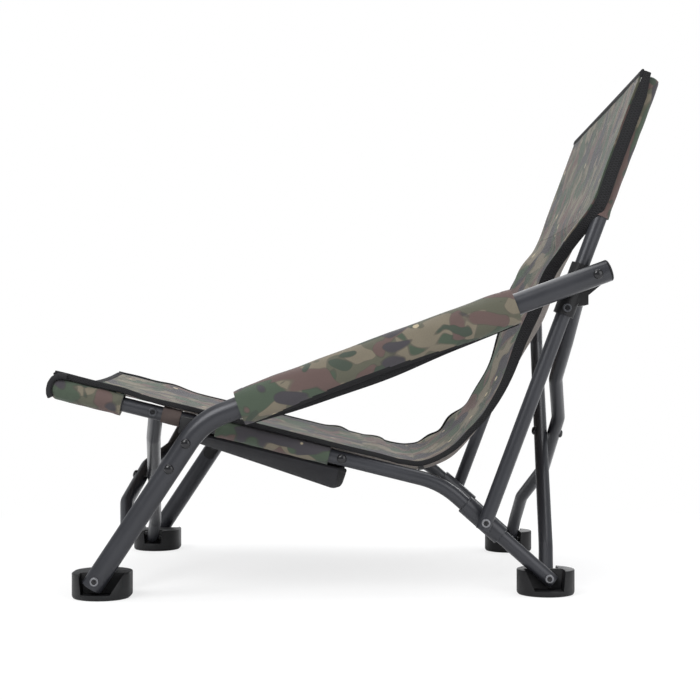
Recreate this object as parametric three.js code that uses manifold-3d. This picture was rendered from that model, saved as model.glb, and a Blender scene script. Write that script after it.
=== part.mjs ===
// Low folding fishing chair: two side frames of bent tube, two pairs of crossed braces, four swivelling
// mud feet and a cloth sling. Millimetres, +Z up. The chair faces -X and its left side is at -Y.
import * as THREE from "three";
import { mergeVertices } from "three/addons/utils/BufferGeometryUtils.js";
import Module from "manifold-3d";

const wasm = await Module();
wasm.setup();

// Clearances
const touch = 0.3; // between pieces that rest against each other
const running = 0.4; // round a tube that slides or turns
const overrun = 2; // how far a cutter runs past the face it cuts
const weld = 0.001; // points closer than this are one point

// Places of the pivots, bends and ends in the chair's side view
const frontFootX = -359.2;
const frontFootZ = 25.2;
const rearFootX = 218.9;
const rearFootZ = 22;
const frontBraceX = -292.5;
const frontBraceZ = 237.2;
const rearBraceX = 259.7;
const rearBraceZ = 383.4;
const polePivotX = 135.2;
const polePivotZ = 96.2;
const poleTopX = 345.6;
const poleTopZ = 658;
const armCornerX = -225.8;
const armCornerZ = 226.7;
const armEndX = 288.4;
const armEndZ = 417.2;
const railCornerX = 79.7;
const railCornerZ = 145.1;

// Tubes
const tubeRadius = 9.5;
const tubeWall = 1.2;
const legRadius = 14;
const legWall = 1.5;
const legBendRadius = 95;
const railBendRadius = 110;
const braceBendRadius = 45;
const tubeSides = 12;
const bendStepDegrees = 16;

// Distances of the tubes from the chair's middle plane
const railOffset = 252;
const ferruleRadius = 12.5;
const poleSpacer = 0.8;
const legSpacer = 1.2;
const poleOffset = railOffset + ferruleRadius + poleSpacer + tubeRadius;
const legOffset = poleOffset + tubeRadius + legSpacer + legRadius;
const frontBraceOffset = 231;
const rearBraceOffset = 224.7;

// Lengths along the tubes
const legBeyondBolt = 11;
const railBeyondBolt = 8;
const railOverhang = 126; // from the front brace's bolt to the rail's front tip
const railBeyondPole = 12; // the front rail tube's end past the pole's pivot, inside the ferrule
const poleBelowPivot = 10;
const armBoltInset = 15.7;
const ferruleLength = 62;
const ferruleAhead = 2;
const railRivetDistance = 251;

// Feet
const footRadius = 37.5;
const footHeight = 33;
const footFillet = 4;
const footFilletShare = 0.3;
const footRim = 1;
const footFloor = 7.2;
const footSides = 24;
const frontFootOffset = 268.1;
const frontFootSpread = 7.9; // half the straight stretch of the front feet's sides
const frontFootShift = 2.8;
const rearFootOffset = 241;
const rearFootShift = -2.5;
const frontPocketFloorHalf = 18.6;
const frontPocketAhead = 22;
const frontPocketBehind = 36;
const rearPocketFloorAhead = 20;
const rearPocketFloorBehind = 17;
const rearPocketAhead = 32;
const rearPocketBehind = 20;
const bracePocketFlare = 2;
const bracePocketWall = 3.6; // from a brace's side to the wall of its pocket in a foot
const braceEndRoom = 1;
const stubRadius = 3;
const footBoltShare = 0.7; // how much of the wall between the pockets the bolt goes into

// Braces
const braceBeyondPivot = 7;
const braceLowRun = 48;
const frontLowDegrees = 37;
const rearLowDegrees = 47;
const braceGap = 0.6; // between two braces where they cross
const highBendAcrossShare = 0.87;
const frontHighBendShare = 0.83;
const rearHighBendShare = 0.85;
const crankShares = [0.14, 0.32, 0.62, 0.82];
const plugDepth = 17;
const plugDome = 4;
const plugRimShares = [
  [0.92, 0],
  [0.7, 0.8],
];

// Bolts, screws and rivets
const boltRadius = 3;
const boltSides = 10;
const plugSides = 12;
const holeSides = 8;
const holeRadius = (boltRadius + touch) / Math.cos(Math.PI / holeSides);
const nutRadius = 5;
const nutHeight = 2;
const ringHead = { radius: 5.6, height: 2.4 };
const domeHead = { radius: 6, height: 3.2 };
const ringHeadShares = [
  [1, 0.6],
  [0.8, 1],
  [0.55, 1],
  [0.4, 0.45],
];
const domeHeadShares = [
  [0.9, 0.45],
  [0.5, 0.9],
];
const ringHollowShare = 0.45;

// Guide that the back pole slides in
const guideLow = 284; // from the pole's pivot, along the pole
const guideHigh = 352;
const guideRadius = 13.4;
const guideSides = 18;
const guideWeb = 5; // the web's inner face, from the pole's axis
const guideWebInset = 3;
const guideWebRise = 14;
const guideWebReach = 9;
const guideWebAbove = 9;
const guideWebBelow = 11;
const guideScrewHeight = 293;
const lugHalf = 8;
const lugShares = [
  [-1.6, -1.4],
  [1, -1],
  [1, 1],
  [-1, 1],
];

// Saddle on the leg that the seat rail rests in
const saddleThickness = 5;
const saddleHalf = 10;
const saddleStart = 8; // from the bend's corner, down the leg
const saddleUpperBolt = 33.5;
const saddleLowerBolt = 72;
const saddleEnd = 88;
const saddleTip = 94;
const saddleDistance = 54; // from the front brace's bolt, along the rail
const hookHalf = 14;
const hookFloor = 7;
const hookLip = 5;
const hookReach = 2;

// Plugs of the armrests
const armPlugDepth = 14;
const armPlugDome = 3;
const armPlugShares = [
  [0.86, 0.75],
  [0.5, 1],
];

// Arm pads
const padStart = 51; // from the bend's corner, along the armrest
const padLength = 372;
const padRise = 23;
const padDrop = 27;
const padHalfWidth = 18.6;
const padRim = 1.5;
const padSides = 16;
const padSteps = 6;
const padDrawInShare = 0.1;
const padDrawInPower = 6;

// Cloth sleeves and pockets on the tubes
const clothThickness = 5;
const stepShare = 0.001; // how far apart a sheet's slopes are measured
const sleeveRadius = 12;
const sleeveSides = 16;
const pocketRadius = 14.6;
const pocketDepth = 84;
const pocketBeyondTip = 10;
const pocketEnd = 4;
const pocketRoundShares = [
  [1, 0.5],
  [0.86, 0.2],
  [0.55, 0],
];
const strapRadius = 11;
const strapStart = 12;
const strapLength = 24;
const seatSleeveStart = 84;
const seatSleeveLength = 150;
const backSleeveLength = 182;
const backSleeveBeyondTop = 8;

// Sling
const seatOverhang = 9;
const seatSag = 14;
const seatLength = 450;
const backOverhang = 10;
const backSag = 10;
const backArch = 9;
const backLength = 172;
const waistFootDistance = 452.6; // along the rail from its tip
const waistFootHeight = 14.6;
const waistTopDistance = 219.5; // down the pole from its top
const waistTopHeight = 27.3;
const flatEdgeShare = 0.94;
const edgeCrowdingShare = 0.9;
const seamShare = 0.006; // room for a seam, in rows of the sling

// Rows of the sling, as shares: over the seat, the distance, the sag and half the width; where it hangs
// free, the places of its edge and its middle and half the width; on the back, the distance down from
// the top, the sag, the arch and half the width
const pocketRowShares = [
  [-0.018, 0.95, 1],
  [0.09, 1.05, 1],
  [0.187, 1.05, 1],
];
const seatRowShares = [
  [0.262, 0.93, 1],
  [0.422, 1, 1],
  [0.6, 1, 1],
  [0.778, 1, 1],
  [0.853, 1.07, 0.992],
  [0.955, 1.2, 0.977],
];
const waistRowShares = [
  [0, 0, 0.009, -0.062, 0.966],
  [0.116, -0.009, 0.158, -0.073, 0.954],
  [0.242, 0.021, 0.33, -0.021, 0.923],
  [0.363, 0.083, 0.465, 0.066, 0.87],
  [0.479, 0.17, 0.577, 0.166, 0.785],
  [0.595, 0.273, 0.693, 0.287, 0.697],
  [0.707, 0.457, 0.823, 0.467, 0.636],
  [0.805, 0.661, 0.977, 0.668, 0.705],
  [0.902, 0.872, 1.088, 0.882, 0.851],
  [1, 1, 1.172, 1.035, 0.966],
];
const backRowShares = [
  [1, 0.8, 0, 0.987],
  [0.7, 1, 0, 1],
  [0.35, 0.9, 0, 1],
  [-0.05, 0.4, 1, 1],
];
const seamRow = pocketRowShares.length + seatRowShares.length + 1;
const backSeamRow = seamRow + waistRowShares.length - 1;
const topRow = backSeamRow + backRowShares.length - 1;
const slingColumns = 12;
const seatSteps = 16;
const waistSteps = 16;
const backSteps = 8;

// Dark band under the seat
const bandThickness = 4;
const bandStart = 42; // from the front brace's bolt, along the rail
const bandLength = 216;
const bandInset = 3;
const bandSag = 22;
const bandRearSag = 20;
const bandCorner = 10;
const bandSagPower = 0.7;
const bandCornerShare = 0.86;
const bandSteps = 8;
const bandColumns = 10;

// Colours and finishes
const paintedSteel = { color: 0x4b4d52, roughness: 0.55, metalness: 0.25 };
const blackPlastic = { color: 0x1d1e20, roughness: 0.6, metalness: 0 };
const blackSteel = { color: 0x26272a, roughness: 0.3, metalness: 0.7 };
const printedCloth = { color: 0x5d5a45, roughness: 0.95, metalness: 0 };
const darkCloth = { color: 0x2b2c2f, roughness: 0.95, metalness: 0 };

// A place in the side view, before its distance from the middle plane is known.
function at(x, z) {
  return new THREE.Vector2(x, z);
}

// A place in space from its side view and its distance from the middle plane.
function place(side, y) {
  return new THREE.Vector3(side.x, y, side.y);
}

// The point of the side view that lies a distance from one point towards another.
function along(from, to, distance) {
  return beside(from, to, distance, 0);
}

// The same, moved square to the line by a height, which is upwards for a line that runs to +X.
function beside(from, to, distance, height) {
  const run = to.clone().sub(from).normalize();
  const square = at(-run.y, run.x);
  return from.clone().addScaledVector(run, distance).addScaledVector(square, height);
}

const frontFootPivot = at(frontFootX, frontFootZ);
const rearFootPivot = at(rearFootX, rearFootZ);
const frontBraceTop = at(frontBraceX, frontBraceZ);
const rearBraceTop = at(rearBraceX, rearBraceZ);
const polePivot = at(polePivotX, polePivotZ);
const poleTop = at(poleTopX, poleTopZ);
const armCorner = at(armCornerX, armCornerZ);
const armRearEnd = at(armEndX, armEndZ);
const railCorner = at(railCornerX, railCornerZ);
const railTip = along(frontBraceTop, railCorner, -railOverhang);
const armBolt = along(armRearEnd, armCorner, armBoltInset);
const railRivet = along(frontBraceTop, railCorner, railRivetDistance);
const saddleBolts = [saddleUpperBolt, saddleLowerBolt].map((s) => along(armCorner, frontFootPivot, s));
const guideScrewPlace = along(polePivot, poleTop, guideScrewHeight);
const acrossFrame = new THREE.Vector3(0, 1, 0);

// A closed geometry as a solid, its faces turned out whatever the order of its points.
function solidOf(geometry) {
  const bare = geometry.index ? geometry.toNonIndexed() : geometry.clone();
  bare.deleteAttribute("normal");
  bare.deleteAttribute("uv");
  const merged = mergeVertices(bare, weld);
  const vertProperties = merged.attributes.position.array;
  const faces = new Uint32Array(merged.index.array);
  const build = (triVerts) => new wasm.Manifold(new wasm.Mesh({ numProp: 3, vertProperties, triVerts }));
  const made = build(faces);
  if (made.volume() > 0) return made;
  for (let i = 0; i < faces.length; i += 3) [faces[i], faces[i + 1]] = [faces[i + 1], faces[i]];
  return build(faces);
}

// A solid as a named mesh with its own material.
function meshOf(name, solid, finish) {
  const mesh = solid.getMesh();
  const geometry = new THREE.BufferGeometry();
  geometry.setAttribute("position", new THREE.BufferAttribute(new Float32Array(mesh.vertProperties), 3));
  geometry.setIndex(new THREE.BufferAttribute(new Uint32Array(mesh.triVerts), 1));
  geometry.computeVertexNormals();
  const made = new THREE.Mesh(geometry, new THREE.MeshStandardMaterial(finish));
  made.name = name;
  return made;
}

// A route through corners, each rounded to its own radius, with stations only where it bends.
class BentRoute extends THREE.Curve {
  constructor(corners, radii) {
    super();
    const last = corners.length - 1;
    const directions = corners.slice(1).map((corner, i) => corner.clone().sub(corners[i]).normalize());
    this.stations = [[corners[0], directions[0]]];
    for (let i = 1; i < last; i++) this.bend(corners[i], directions[i - 1], directions[i], radii[i - 1]);
    this.stations.push([corners[last], directions[last - 1]]);
  }

  bend(corner, into, out, radius) {
    const turn = into.angleTo(out);
    const setback = radius * Math.tan(turn / 2);
    const inward = out.clone().addScaledVector(into, -Math.cos(turn)).normalize();
    const start = corner.clone().addScaledVector(into, -setback);
    const steps = Math.max(1, Math.round(turn / THREE.MathUtils.degToRad(bendStepDegrees)));
    for (let i = 0; i <= steps; i++) {
      const angle = (turn * i) / steps;
      const point = start.clone().addScaledVector(into, radius * Math.sin(angle));
      point.addScaledVector(inward, radius * (1 - Math.cos(angle)));
      const tangent = into.clone().multiplyScalar(Math.cos(angle));
      this.stations.push([point, tangent.addScaledVector(inward, Math.sin(angle))]);
    }
  }

  station(u) {
    return this.stations[Math.round(u * (this.stations.length - 1))];
  }

  getPoint(u) {
    return this.station(u)[0].clone();
  }

  getPointAt(u) {
    return this.getPoint(u);
  }

  getTangentAt(u) {
    return this.station(u)[1].clone();
  }
}

// A regular outline, round when its two radii are alike.
function ringOutline(radius, otherRadius, sides) {
  const turns = Array.from({ length: sides }, (_, i) => (2 * Math.PI * (i + 0.5)) / sides);
  return turns.map((a) => new THREE.Vector2(radius * Math.cos(a), otherRadius * Math.sin(a)));
}

// A bent tube or rod: a round section, with a bore when a wall is given, drawn along its route.
function tube(corners, radii, outer, wall = 0, sides = tubeSides) {
  const section = new THREE.Shape(ringOutline(outer, outer, sides));
  if (wall) section.holes.push(new THREE.Path(ringOutline(outer - wall, outer - wall, sides)));
  const route = new BentRoute(corners, radii);
  const steps = route.stations.length - 1;
  return solidOf(new THREE.ExtrudeGeometry(section, { steps, bevelEnabled: false, extrudePath: route }));
}

// A straight rod between two places.
function rod(from, to, radius, sides = tubeSides) {
  return tube([from, to], [], radius, 0, sides);
}

// A turned piece: its outline, as radius and height, is turned about an axis that starts at a place.
function turned(outline, from, direction, sides) {
  const geometry = new THREE.LatheGeometry(
    outline.map(([radius, height]) => new THREE.Vector2(radius, height)),
    sides,
  );
  geometry.applyQuaternion(new THREE.Quaternion().setFromUnitVectors(new THREE.Vector3(0, 1, 0), direction));
  geometry.translate(from.x, from.y, from.z);
  return solidOf(geometry);
}

// A plate: an outline in the side view, between two distances from the middle plane.
function plate(outline, inner, outer) {
  const shape = new THREE.Shape(outline);
  const geometry = new THREE.ExtrudeGeometry(shape, { depth: outer - inner, bevelEnabled: false });
  geometry.rotateX(Math.PI / 2);
  geometry.translate(0, outer, 0);
  return solidOf(geometry);
}

// A bolt from its tip or nut to its head, along a direction.
function bolt(tip, direction, length, isRing, nutLength) {
  const head = isRing ? ringHead : domeHead;
  const crown = (isRing ? ringHeadShares : domeHeadShares).map(([r, h]) => [
    head.radius * r,
    length + head.height * h,
  ]);
  const nut = [
    [0, -nutLength],
    [nutRadius, -nutLength],
    [nutRadius, 0],
  ];
  const outline = [
    ...(nutLength ? nut : [[0, 0]]),
    [boltRadius, 0],
    [boltRadius, length],
    [head.radius, length],
    ...crown,
    [0, length + head.height * (isRing ? ringHollowShare : 1)],
  ];
  return turned(outline, tip, direction, boltSides);
}

// A bolt through the frame: its head rests on the outer face, its nut on the inner one.
function crossBolt(side, headFace, nutFace, isRing, nutLength = nutHeight) {
  return bolt(place(side, nutFace), acrossFrame, headFace - nutFace, isRing, nutLength);
}

// The clearance hole of a cross bolt.
function crossHole(side, inner, outer) {
  return rod(place(side, inner), place(side, outer), holeRadius, holeSides);
}

// Holes for cross bolts through a tube that lies at a distance from the middle plane.
function drill(body, places, offset, radius) {
  const reach = radius + overrun;
  return places.reduce((made, side) => made.subtract(crossHole(side, offset - reach, offset + reach)), body);
}

// Leg and armrest: one bent tube from the front foot to the rear of the arm.
function legAndArm() {
  const foot = along(frontFootPivot, armCorner, -legBeyondBolt);
  const corners = [foot, armCorner, armRearEnd].map((corner) => place(corner, legOffset));
  const body = tube(corners, [legBendRadius], legRadius, legWall);
  return drill(body, [frontFootPivot, armBolt, ...saddleBolts], legOffset, legRadius);
}

// The domed plug in the rear end of the armrest.
function armEndPlug() {
  const shank = legRadius - legWall - touch * 2;
  const outline = [
    [0, -armPlugDepth],
    [shank, -armPlugDepth],
    [shank, touch],
    [legRadius, touch],
    ...armPlugShares.map(([r, h]) => [legRadius * r, touch + armPlugDome * h]),
    [0, touch + armPlugDome],
  ];
  const direction = place(armRearEnd, 0).sub(place(armCorner, 0)).normalize();
  const plug = turned(outline, place(armRearEnd, legOffset), direction, plugSides);
  return drill(plug, [armBolt], legOffset, legRadius);
}

// The padded sleeve round the armrest, drawn in a little at its two ends.
function armPad() {
  const lift = (padRise - padDrop) / 2;
  const outline = ringOutline((padRise + padDrop) / 2, padHalfWidth, padSides);
  const section = new THREE.Shape(outline.map((p) => at(p.x + lift, p.y)));
  const bore = legRadius + touch;
  section.holes.push(new THREE.Path(ringOutline(bore, bore, padSides)));
  const settings = { depth: padLength, steps: padSteps, bevelEnabled: false };
  const geometry = new THREE.ExtrudeGeometry(section, settings);
  const points = geometry.attributes.position;
  for (let i = 0; i < points.count; i++) {
    const [x, y, z] = [points.getX(i), points.getY(i), points.getZ(i)];
    if (Math.hypot(x, y) < bore + padRim) continue;
    const scale = 1 - padDrawInShare * Math.pow(Math.abs((2 * z) / padLength - 1), padDrawInPower);
    points.setXYZ(i, (x - lift) * scale + lift, y * scale, z);
  }
  const start = along(armCorner, armRearEnd, padStart);
  const run = place(armRearEnd, 0).sub(place(armCorner, 0)).normalize();
  const up = new THREE.Vector3().crossVectors(run, acrossFrame).normalize();
  geometry.applyMatrix4(new THREE.Matrix4().makeBasis(up, acrossFrame, run));
  geometry.translate(start.x, legOffset, start.y);
  return solidOf(geometry);
}

// The guide that the back pole slides in, bolted to the inner face of the armrest.
function poleGuide() {
  const from = place(along(polePivot, poleTop, guideLow), poleOffset);
  const to = place(along(polePivot, poleTop, guideHigh), poleOffset);
  const webInner = poleOffset - guideWeb;
  const webOuter = legOffset - legRadius - touch;
  const web = [
    along(polePivot, poleTop, guideHigh - guideWebInset),
    at(armBolt.x + guideWebReach, armBolt.y + guideWebAbove),
    at(armBolt.x + guideWebReach, armBolt.y - guideWebBelow),
    beside(polePivot, poleTop, guideLow + guideWebRise, -guideWebReach),
    along(polePivot, poleTop, guideLow + guideWebRise),
  ];
  const lug = lugShares.map(([x, z]) => at(rearBraceTop.x + lugHalf * x, rearBraceTop.y + lugHalf * z));
  const lugFace = rearBraceOffset + tubeRadius + running;
  const body = rod(from, to, guideRadius, guideSides)
    .add(plate(web, webInner, webOuter))
    .add(plate(lug, lugFace, webInner + overrun));
  const bore = rod(
    place(polePivot, poleOffset),
    place(poleTop, poleOffset),
    tubeRadius + running,
  );
  const armRoom = rod(place(armCorner, legOffset), place(armRearEnd, legOffset), legRadius + touch, guideSides);
  const screwRoom = crossHole(guideScrewPlace, poleOffset, poleOffset + guideRadius + overrun);
  const boltRoom = crossHole(armBolt, webInner - overrun, webOuter + overrun);
  return body.subtract(bore).subtract(armRoom).subtract(screwRoom).subtract(boltRoom);
}

// The screw in the guide's outer wall.
function guideScrew() {
  const tip = poleOffset + tubeRadius + running + touch;
  const length = poleOffset + guideRadius + touch - tip;
  return bolt(place(guideScrewPlace, tip), acrossFrame, length, true, 0);
}

// The saddle on the leg's inner face: a plate with a hook that the seat rail rests in.
function railSaddle() {
  const back = legOffset - legRadius - touch;
  const flank = (distance, half) => beside(armCorner, frontFootPivot, distance, half);
  const platform = [
    flank(saddleStart, saddleHalf),
    flank(saddleEnd, saddleHalf),
    flank(saddleTip, 0),
    flank(saddleEnd, -saddleHalf),
    flank(saddleStart, -saddleHalf),
  ];
  const bed = tubeRadius + touch;
  const byRail = (run, rise) => beside(frontBraceTop, railCorner, saddleDistance + run, rise);
  const hook = [
    byRail(-hookHalf, hookLip),
    byRail(-hookHalf, -bed - hookFloor),
    byRail(hookHalf, -bed - hookFloor),
    byRail(hookHalf, hookLip),
  ];
  const way = [
    byRail(-hookHalf - overrun, 0),
    byRail(hookHalf + overrun, 0),
    byRail(hookHalf + overrun, bed + overrun),
    byRail(-hookHalf - overrun, bed + overrun),
  ];
  const railRoom = rod(
    place(byRail(-hookHalf * 2, 0), railOffset),
    place(byRail(hookHalf * 2, 0), railOffset),
    bed,
    guideSides,
  );
  const body = plate(platform, back - saddleThickness, back)
    .add(plate(hook, railOffset - hookReach, back - touch / 2))
    .subtract(railRoom)
    .subtract(plate(way, railOffset - bed, railOffset + bed));
  const holes = saddleBolts.map((side) => crossHole(side, railOffset - overrun, back + overrun));
  return holes.reduce((made, hole) => made.subtract(hole), body);
}

// The front stretch of the seat rail, from its tip to the inside of the ferrule.
function seatRail() {
  const end = along(railCorner, rearFootPivot, railCorner.distanceTo(polePivot) + railBeyondPole);
  const corners = [railTip, railCorner, end].map((corner) => place(corner, railOffset));
  const body = tube(corners, [railBendRadius], tubeRadius, tubeWall);
  return drill(body, [frontBraceTop, polePivot, railRivet], railOffset, tubeRadius);
}

// The rear stretch of the seat rail, from the ferrule to the rear foot.
function rearLeg() {
  const start = along(polePivot, rearFootPivot, railBeyondPole + touch * 2);
  const end = along(rearFootPivot, polePivot, -railBeyondBolt);
  const body = tube([start, end].map((side) => place(side, railOffset)), [], tubeRadius, tubeWall);
  return drill(body, [rearFootPivot], railOffset, tubeRadius);
}

// The ferrule that joins the two stretches of the rail.
function ferrule() {
  const ends = [-ferruleLength / 2, ferruleLength / 2].map((s) => s - ferruleAhead);
  const places = ends.map((s) => place(along(polePivot, rearFootPivot, s), railOffset));
  const body = tube(places, [], ferruleRadius, ferruleRadius - tubeRadius - touch);
  return drill(body, [polePivot], railOffset, ferruleRadius);
}

// The back pole, pivoted on the ferrule.
function backPole() {
  const low = along(polePivot, poleTop, -poleBelowPivot);
  const body = tube([place(low, poleOffset), place(poleTop, poleOffset)], [], tubeRadius, tubeWall);
  return drill(body, [polePivot], poleOffset, tubeRadius);
}

// A sleeve of cloth on a tube, open at both ends.
function clothSleeve(from, to, offset, radius) {
  const start = place(from, offset);
  const direction = place(to, offset).sub(start);
  const length = direction.length();
  const bore = tubeRadius + touch;
  const outline = [
    [bore, 0],
    [radius, 0],
    [radius, length],
    [bore, length],
    [bore, 0],
  ];
  return turned(outline, start, direction.normalize(), sleeveSides);
}

// A pocket of cloth on the end of a tube, rounded where it is closed.
function clothPocket(from, to, offset, radius) {
  const start = place(from, offset);
  const direction = place(to, offset).sub(start);
  const length = direction.length();
  const bore = tubeRadius + touch;
  const outline = [
    [bore, 0],
    [radius, 0],
    ...pocketRoundShares.map(([r, h]) => [radius * r, length - radius * h]),
    [0, length],
    [0, length - pocketEnd],
    [bore, length - pocketEnd],
    [bore, 0],
  ];
  return turned(outline, start, direction.normalize(), sleeveSides);
}

// How far a brace's low end sweeps round its pivot in the foot.
function braceSweep() {
  return Math.hypot(braceBeyondPivot, tubeRadius) + braceEndRoom;
}

// A foot: a puck with a pocket for a frame tube on its outer side and one for a brace on its inner side,
// where two stubs square to the braces' plane hold the brace.
function foot(pivot, braceTop, shift, offset, spread, tubeOffset, tubeSize, braceOffset, pocket) {
  const outer = offset + spread + footRadius + overrun;
  const inner = offset - spread - footRadius - overrun;
  const outline = [
    [0, 0],
    [footRadius - footFillet, 0],
    [footRadius - footFillet * footFilletShare, footFillet * footFilletShare],
    [footRadius, footFillet],
    [footRadius, footHeight - footRim],
    [footRadius - footRim, footHeight],
    [0, footHeight],
  ];
  const up = new THREE.Vector3(0, 0, 1);
  const puck = (y) => turned(outline, new THREE.Vector3(pivot.x + shift, y, 0), up, footSides);
  let body = wasm.Manifold.hull([puck(offset - spread), puck(offset + spread)]);
  const [floorAhead, floorBehind, ahead, behind] = pocket;
  const lip = footHeight + overrun;
  const tubePocket = [
    at(pivot.x - floorAhead, footFloor),
    at(pivot.x + floorBehind, footFloor),
    at(pivot.x + behind, lip),
    at(pivot.x - ahead, lip),
  ];
  body = body.subtract(plate(tubePocket, tubeOffset - tubeSize - touch, outer));
  const half = tubeRadius + bracePocketWall;
  const floor = pivot.y - braceSweep();
  const bracePocket = [
    at(pivot.x - half, floor),
    at(pivot.x + half, floor),
    at(pivot.x + half + bracePocketFlare, lip),
    at(pivot.x - half - bracePocketFlare, lip),
  ];
  body = body.subtract(plate(bracePocket, inner, braceOffset + braceSweep()));
  const { aside } = bracePlane(pivot, braceTop);
  for (const way of [-1, 1]) {
    const [near, far] = [tubeRadius + touch, half + bracePocketFlare + overrun].map((reach) =>
      place(pivot.clone().addScaledVector(aside, way * reach), braceOffset),
    );
    body = body.add(rod(near, far, stubRadius));
  }
  return body.subtract(crossHole(pivot, braceOffset + braceSweep() - overrun, outer));
}

// A foot's bolt: it goes through the frame tube into the wall between the foot's pockets.
function footBolt(pivot, tubeOffset, tubeSize, braceOffset) {
  const wallFace = tubeOffset - tubeSize - touch;
  const wall = wallFace - braceOffset - braceSweep();
  const tip = wallFace - wall * footBoltShare;
  const face = tubeOffset + tubeSize + touch;
  return bolt(place(pivot, tip), acrossFrame, face - tip, true, 0);
}

// One side frame, modelled at +Y. The left one is its mirror image.
function sideFrame(side) {
  const group = new THREE.Group();
  const add = (name, solid, finish) => group.add(meshOf(`${side}_${name}`, solid, finish));
  const legOuter = legOffset + legRadius + touch;
  const railOuter = railOffset + tubeRadius + touch;
  const railInner = railOffset - tubeRadius - touch;
  add("leg_and_arm_tube", legAndArm(), paintedSteel);
  add("arm_end_plug", armEndPlug(), blackPlastic);
  add("arm_pad", armPad(), printedCloth);
  add("pole_guide", poleGuide(), blackPlastic);
  add("guide_bolt", crossBolt(armBolt, legOuter, poleOffset - guideWeb - touch, false), blackSteel);
  add("guide_screw", guideScrew(), blackSteel);
  add("rail_saddle", railSaddle(), blackPlastic);
  const saddleFace = legOffset - legRadius - touch * 2 - saddleThickness;
  const [upper, lower] = saddleBolts;
  add("saddle_bolt_upper", crossBolt(upper, legOuter, saddleFace, false), blackSteel);
  add("saddle_bolt_lower", crossBolt(lower, legOuter, saddleFace, false), blackSteel);
  add("seat_rail", seatRail(), paintedSteel);
  add("rear_leg", rearLeg(), paintedSteel);
  add("ferrule", ferrule(), paintedSteel);
  add("rail_rivet", crossBolt(railRivet, railOuter, railInner, false), blackSteel);
  const nutRoom = railInner - frontBraceOffset - tubeRadius - running;
  add("front_brace_bolt", crossBolt(frontBraceTop, railOuter, railInner, true, nutRoom), blackSteel);
  add("back_pole", backPole(), paintedSteel);
  const poleFace = poleOffset + tubeRadius + touch;
  const ferruleFace = railOffset - ferruleRadius - touch;
  add("pole_pivot_bolt", crossBolt(polePivot, poleFace, ferruleFace, true), blackSteel);
  const frontPocket = [frontPocketFloorHalf, frontPocketFloorHalf, frontPocketAhead, frontPocketBehind];
  const frontPuck = [frontFootPivot, frontBraceTop, frontFootShift, frontFootOffset, frontFootSpread];
  add("front_foot", foot(...frontPuck, legOffset, legRadius, frontBraceOffset, frontPocket), blackPlastic);
  const rearPocket = [rearPocketFloorAhead, rearPocketFloorBehind, rearPocketAhead, rearPocketBehind];
  const rearPuck = [rearFootPivot, rearBraceTop, rearFootShift, rearFootOffset, 0];
  add("rear_foot", foot(...rearPuck, railOffset, tubeRadius, rearBraceOffset, rearPocket), blackPlastic);
  add("front_foot_bolt", footBolt(frontFootPivot, legOffset, legRadius, frontBraceOffset), blackSteel);
  add("rear_foot_bolt", footBolt(rearFootPivot, railOffset, tubeRadius, rearBraceOffset), blackSteel);
  const byRail = (distance) => along(frontBraceTop, railCorner, distance);
  const pocketMouth = along(railTip, railCorner, pocketDepth);
  const pocketNose = along(railTip, railCorner, -pocketBeyondTip);
  add("seat_front_pocket", clothPocket(pocketMouth, pocketNose, railOffset, pocketRadius), printedCloth);
  const seatSleeve = [byRail(seatSleeveStart), byRail(seatSleeveStart + seatSleeveLength)];
  add("seat_sleeve", clothSleeve(...seatSleeve, railOffset, sleeveRadius), printedCloth);
  const strap = [byRail(strapStart), byRail(strapStart + strapLength)];
  add("seat_strap", clothSleeve(...strap, railOffset, strapRadius), darkCloth);
  const backMouth = along(poleTop, polePivot, backSleeveLength);
  const backCap = along(poleTop, polePivot, -backSleeveBeyondTop);
  add("back_sleeve", clothPocket(backMouth, backCap, poleOffset, sleeveRadius), printedCloth);
  if (side === "left") group.scale.y = -1;
  return group;
}

// The plane that a pair of braces lies in: its low and high lines, and the direction square to it.
function bracePlane(lowPivot, highPivot) {
  const up = highPivot.clone().sub(lowPivot);
  const rise = up.length();
  up.divideScalar(rise);
  return { lowPivot, up, rise, aside: at(up.y, -up.x) };
}

// A brace from a foot on the left up to the right side frame, cranked aside where it crosses its partner.
function brace(plane, offset, lowAngle, highBendShare, crank) {
  const { lowPivot, up, rise, aside } = plane;
  const span = 2 * offset;
  const spot = ([run, height], shift) => {
    const side = lowPivot.clone().addScaledVector(up, height).addScaledVector(aside, shift);
    return place(side, run - offset);
  };
  const outOfFoot = (length) => [length * Math.cos(lowAngle), length * Math.sin(lowAngle)];
  const lowBend = outOfFoot(braceLowRun);
  const highBend = [span * highBendAcrossShare, rise * highBendShare];
  const between = (share) => lowBend.map((low, i) => THREE.MathUtils.lerp(low, highBend[i], share));
  const shifts = [0, crank, crank, 0];
  const cranked = crank ? crankShares.map((share, i) => spot(between(share), shifts[i])) : [];
  const corners = [
    spot(outOfFoot(-braceBeyondPivot), 0),
    spot(lowBend, 0),
    ...cranked,
    spot(highBend, 0),
    spot([span, rise], 0),
  ];
  const bends = corners.slice(2).map(() => braceBendRadius);
  const top = corners.at(-1);
  const direction = top.clone().sub(corners.at(-2)).normalize();
  const shank = tubeRadius - tubeWall / 2;
  const plug = [
    [0, -plugDepth],
    [shank, -plugDepth],
    [shank, touch],
    ...plugRimShares.map(([r, h]) => [tubeRadius * r, touch + plugDome * h]),
    [0, touch + plugDome],
  ];
  return tube(corners, bends, tubeRadius, tubeWall).add(turned(plug, top, direction, tubeSides));
}

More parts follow.
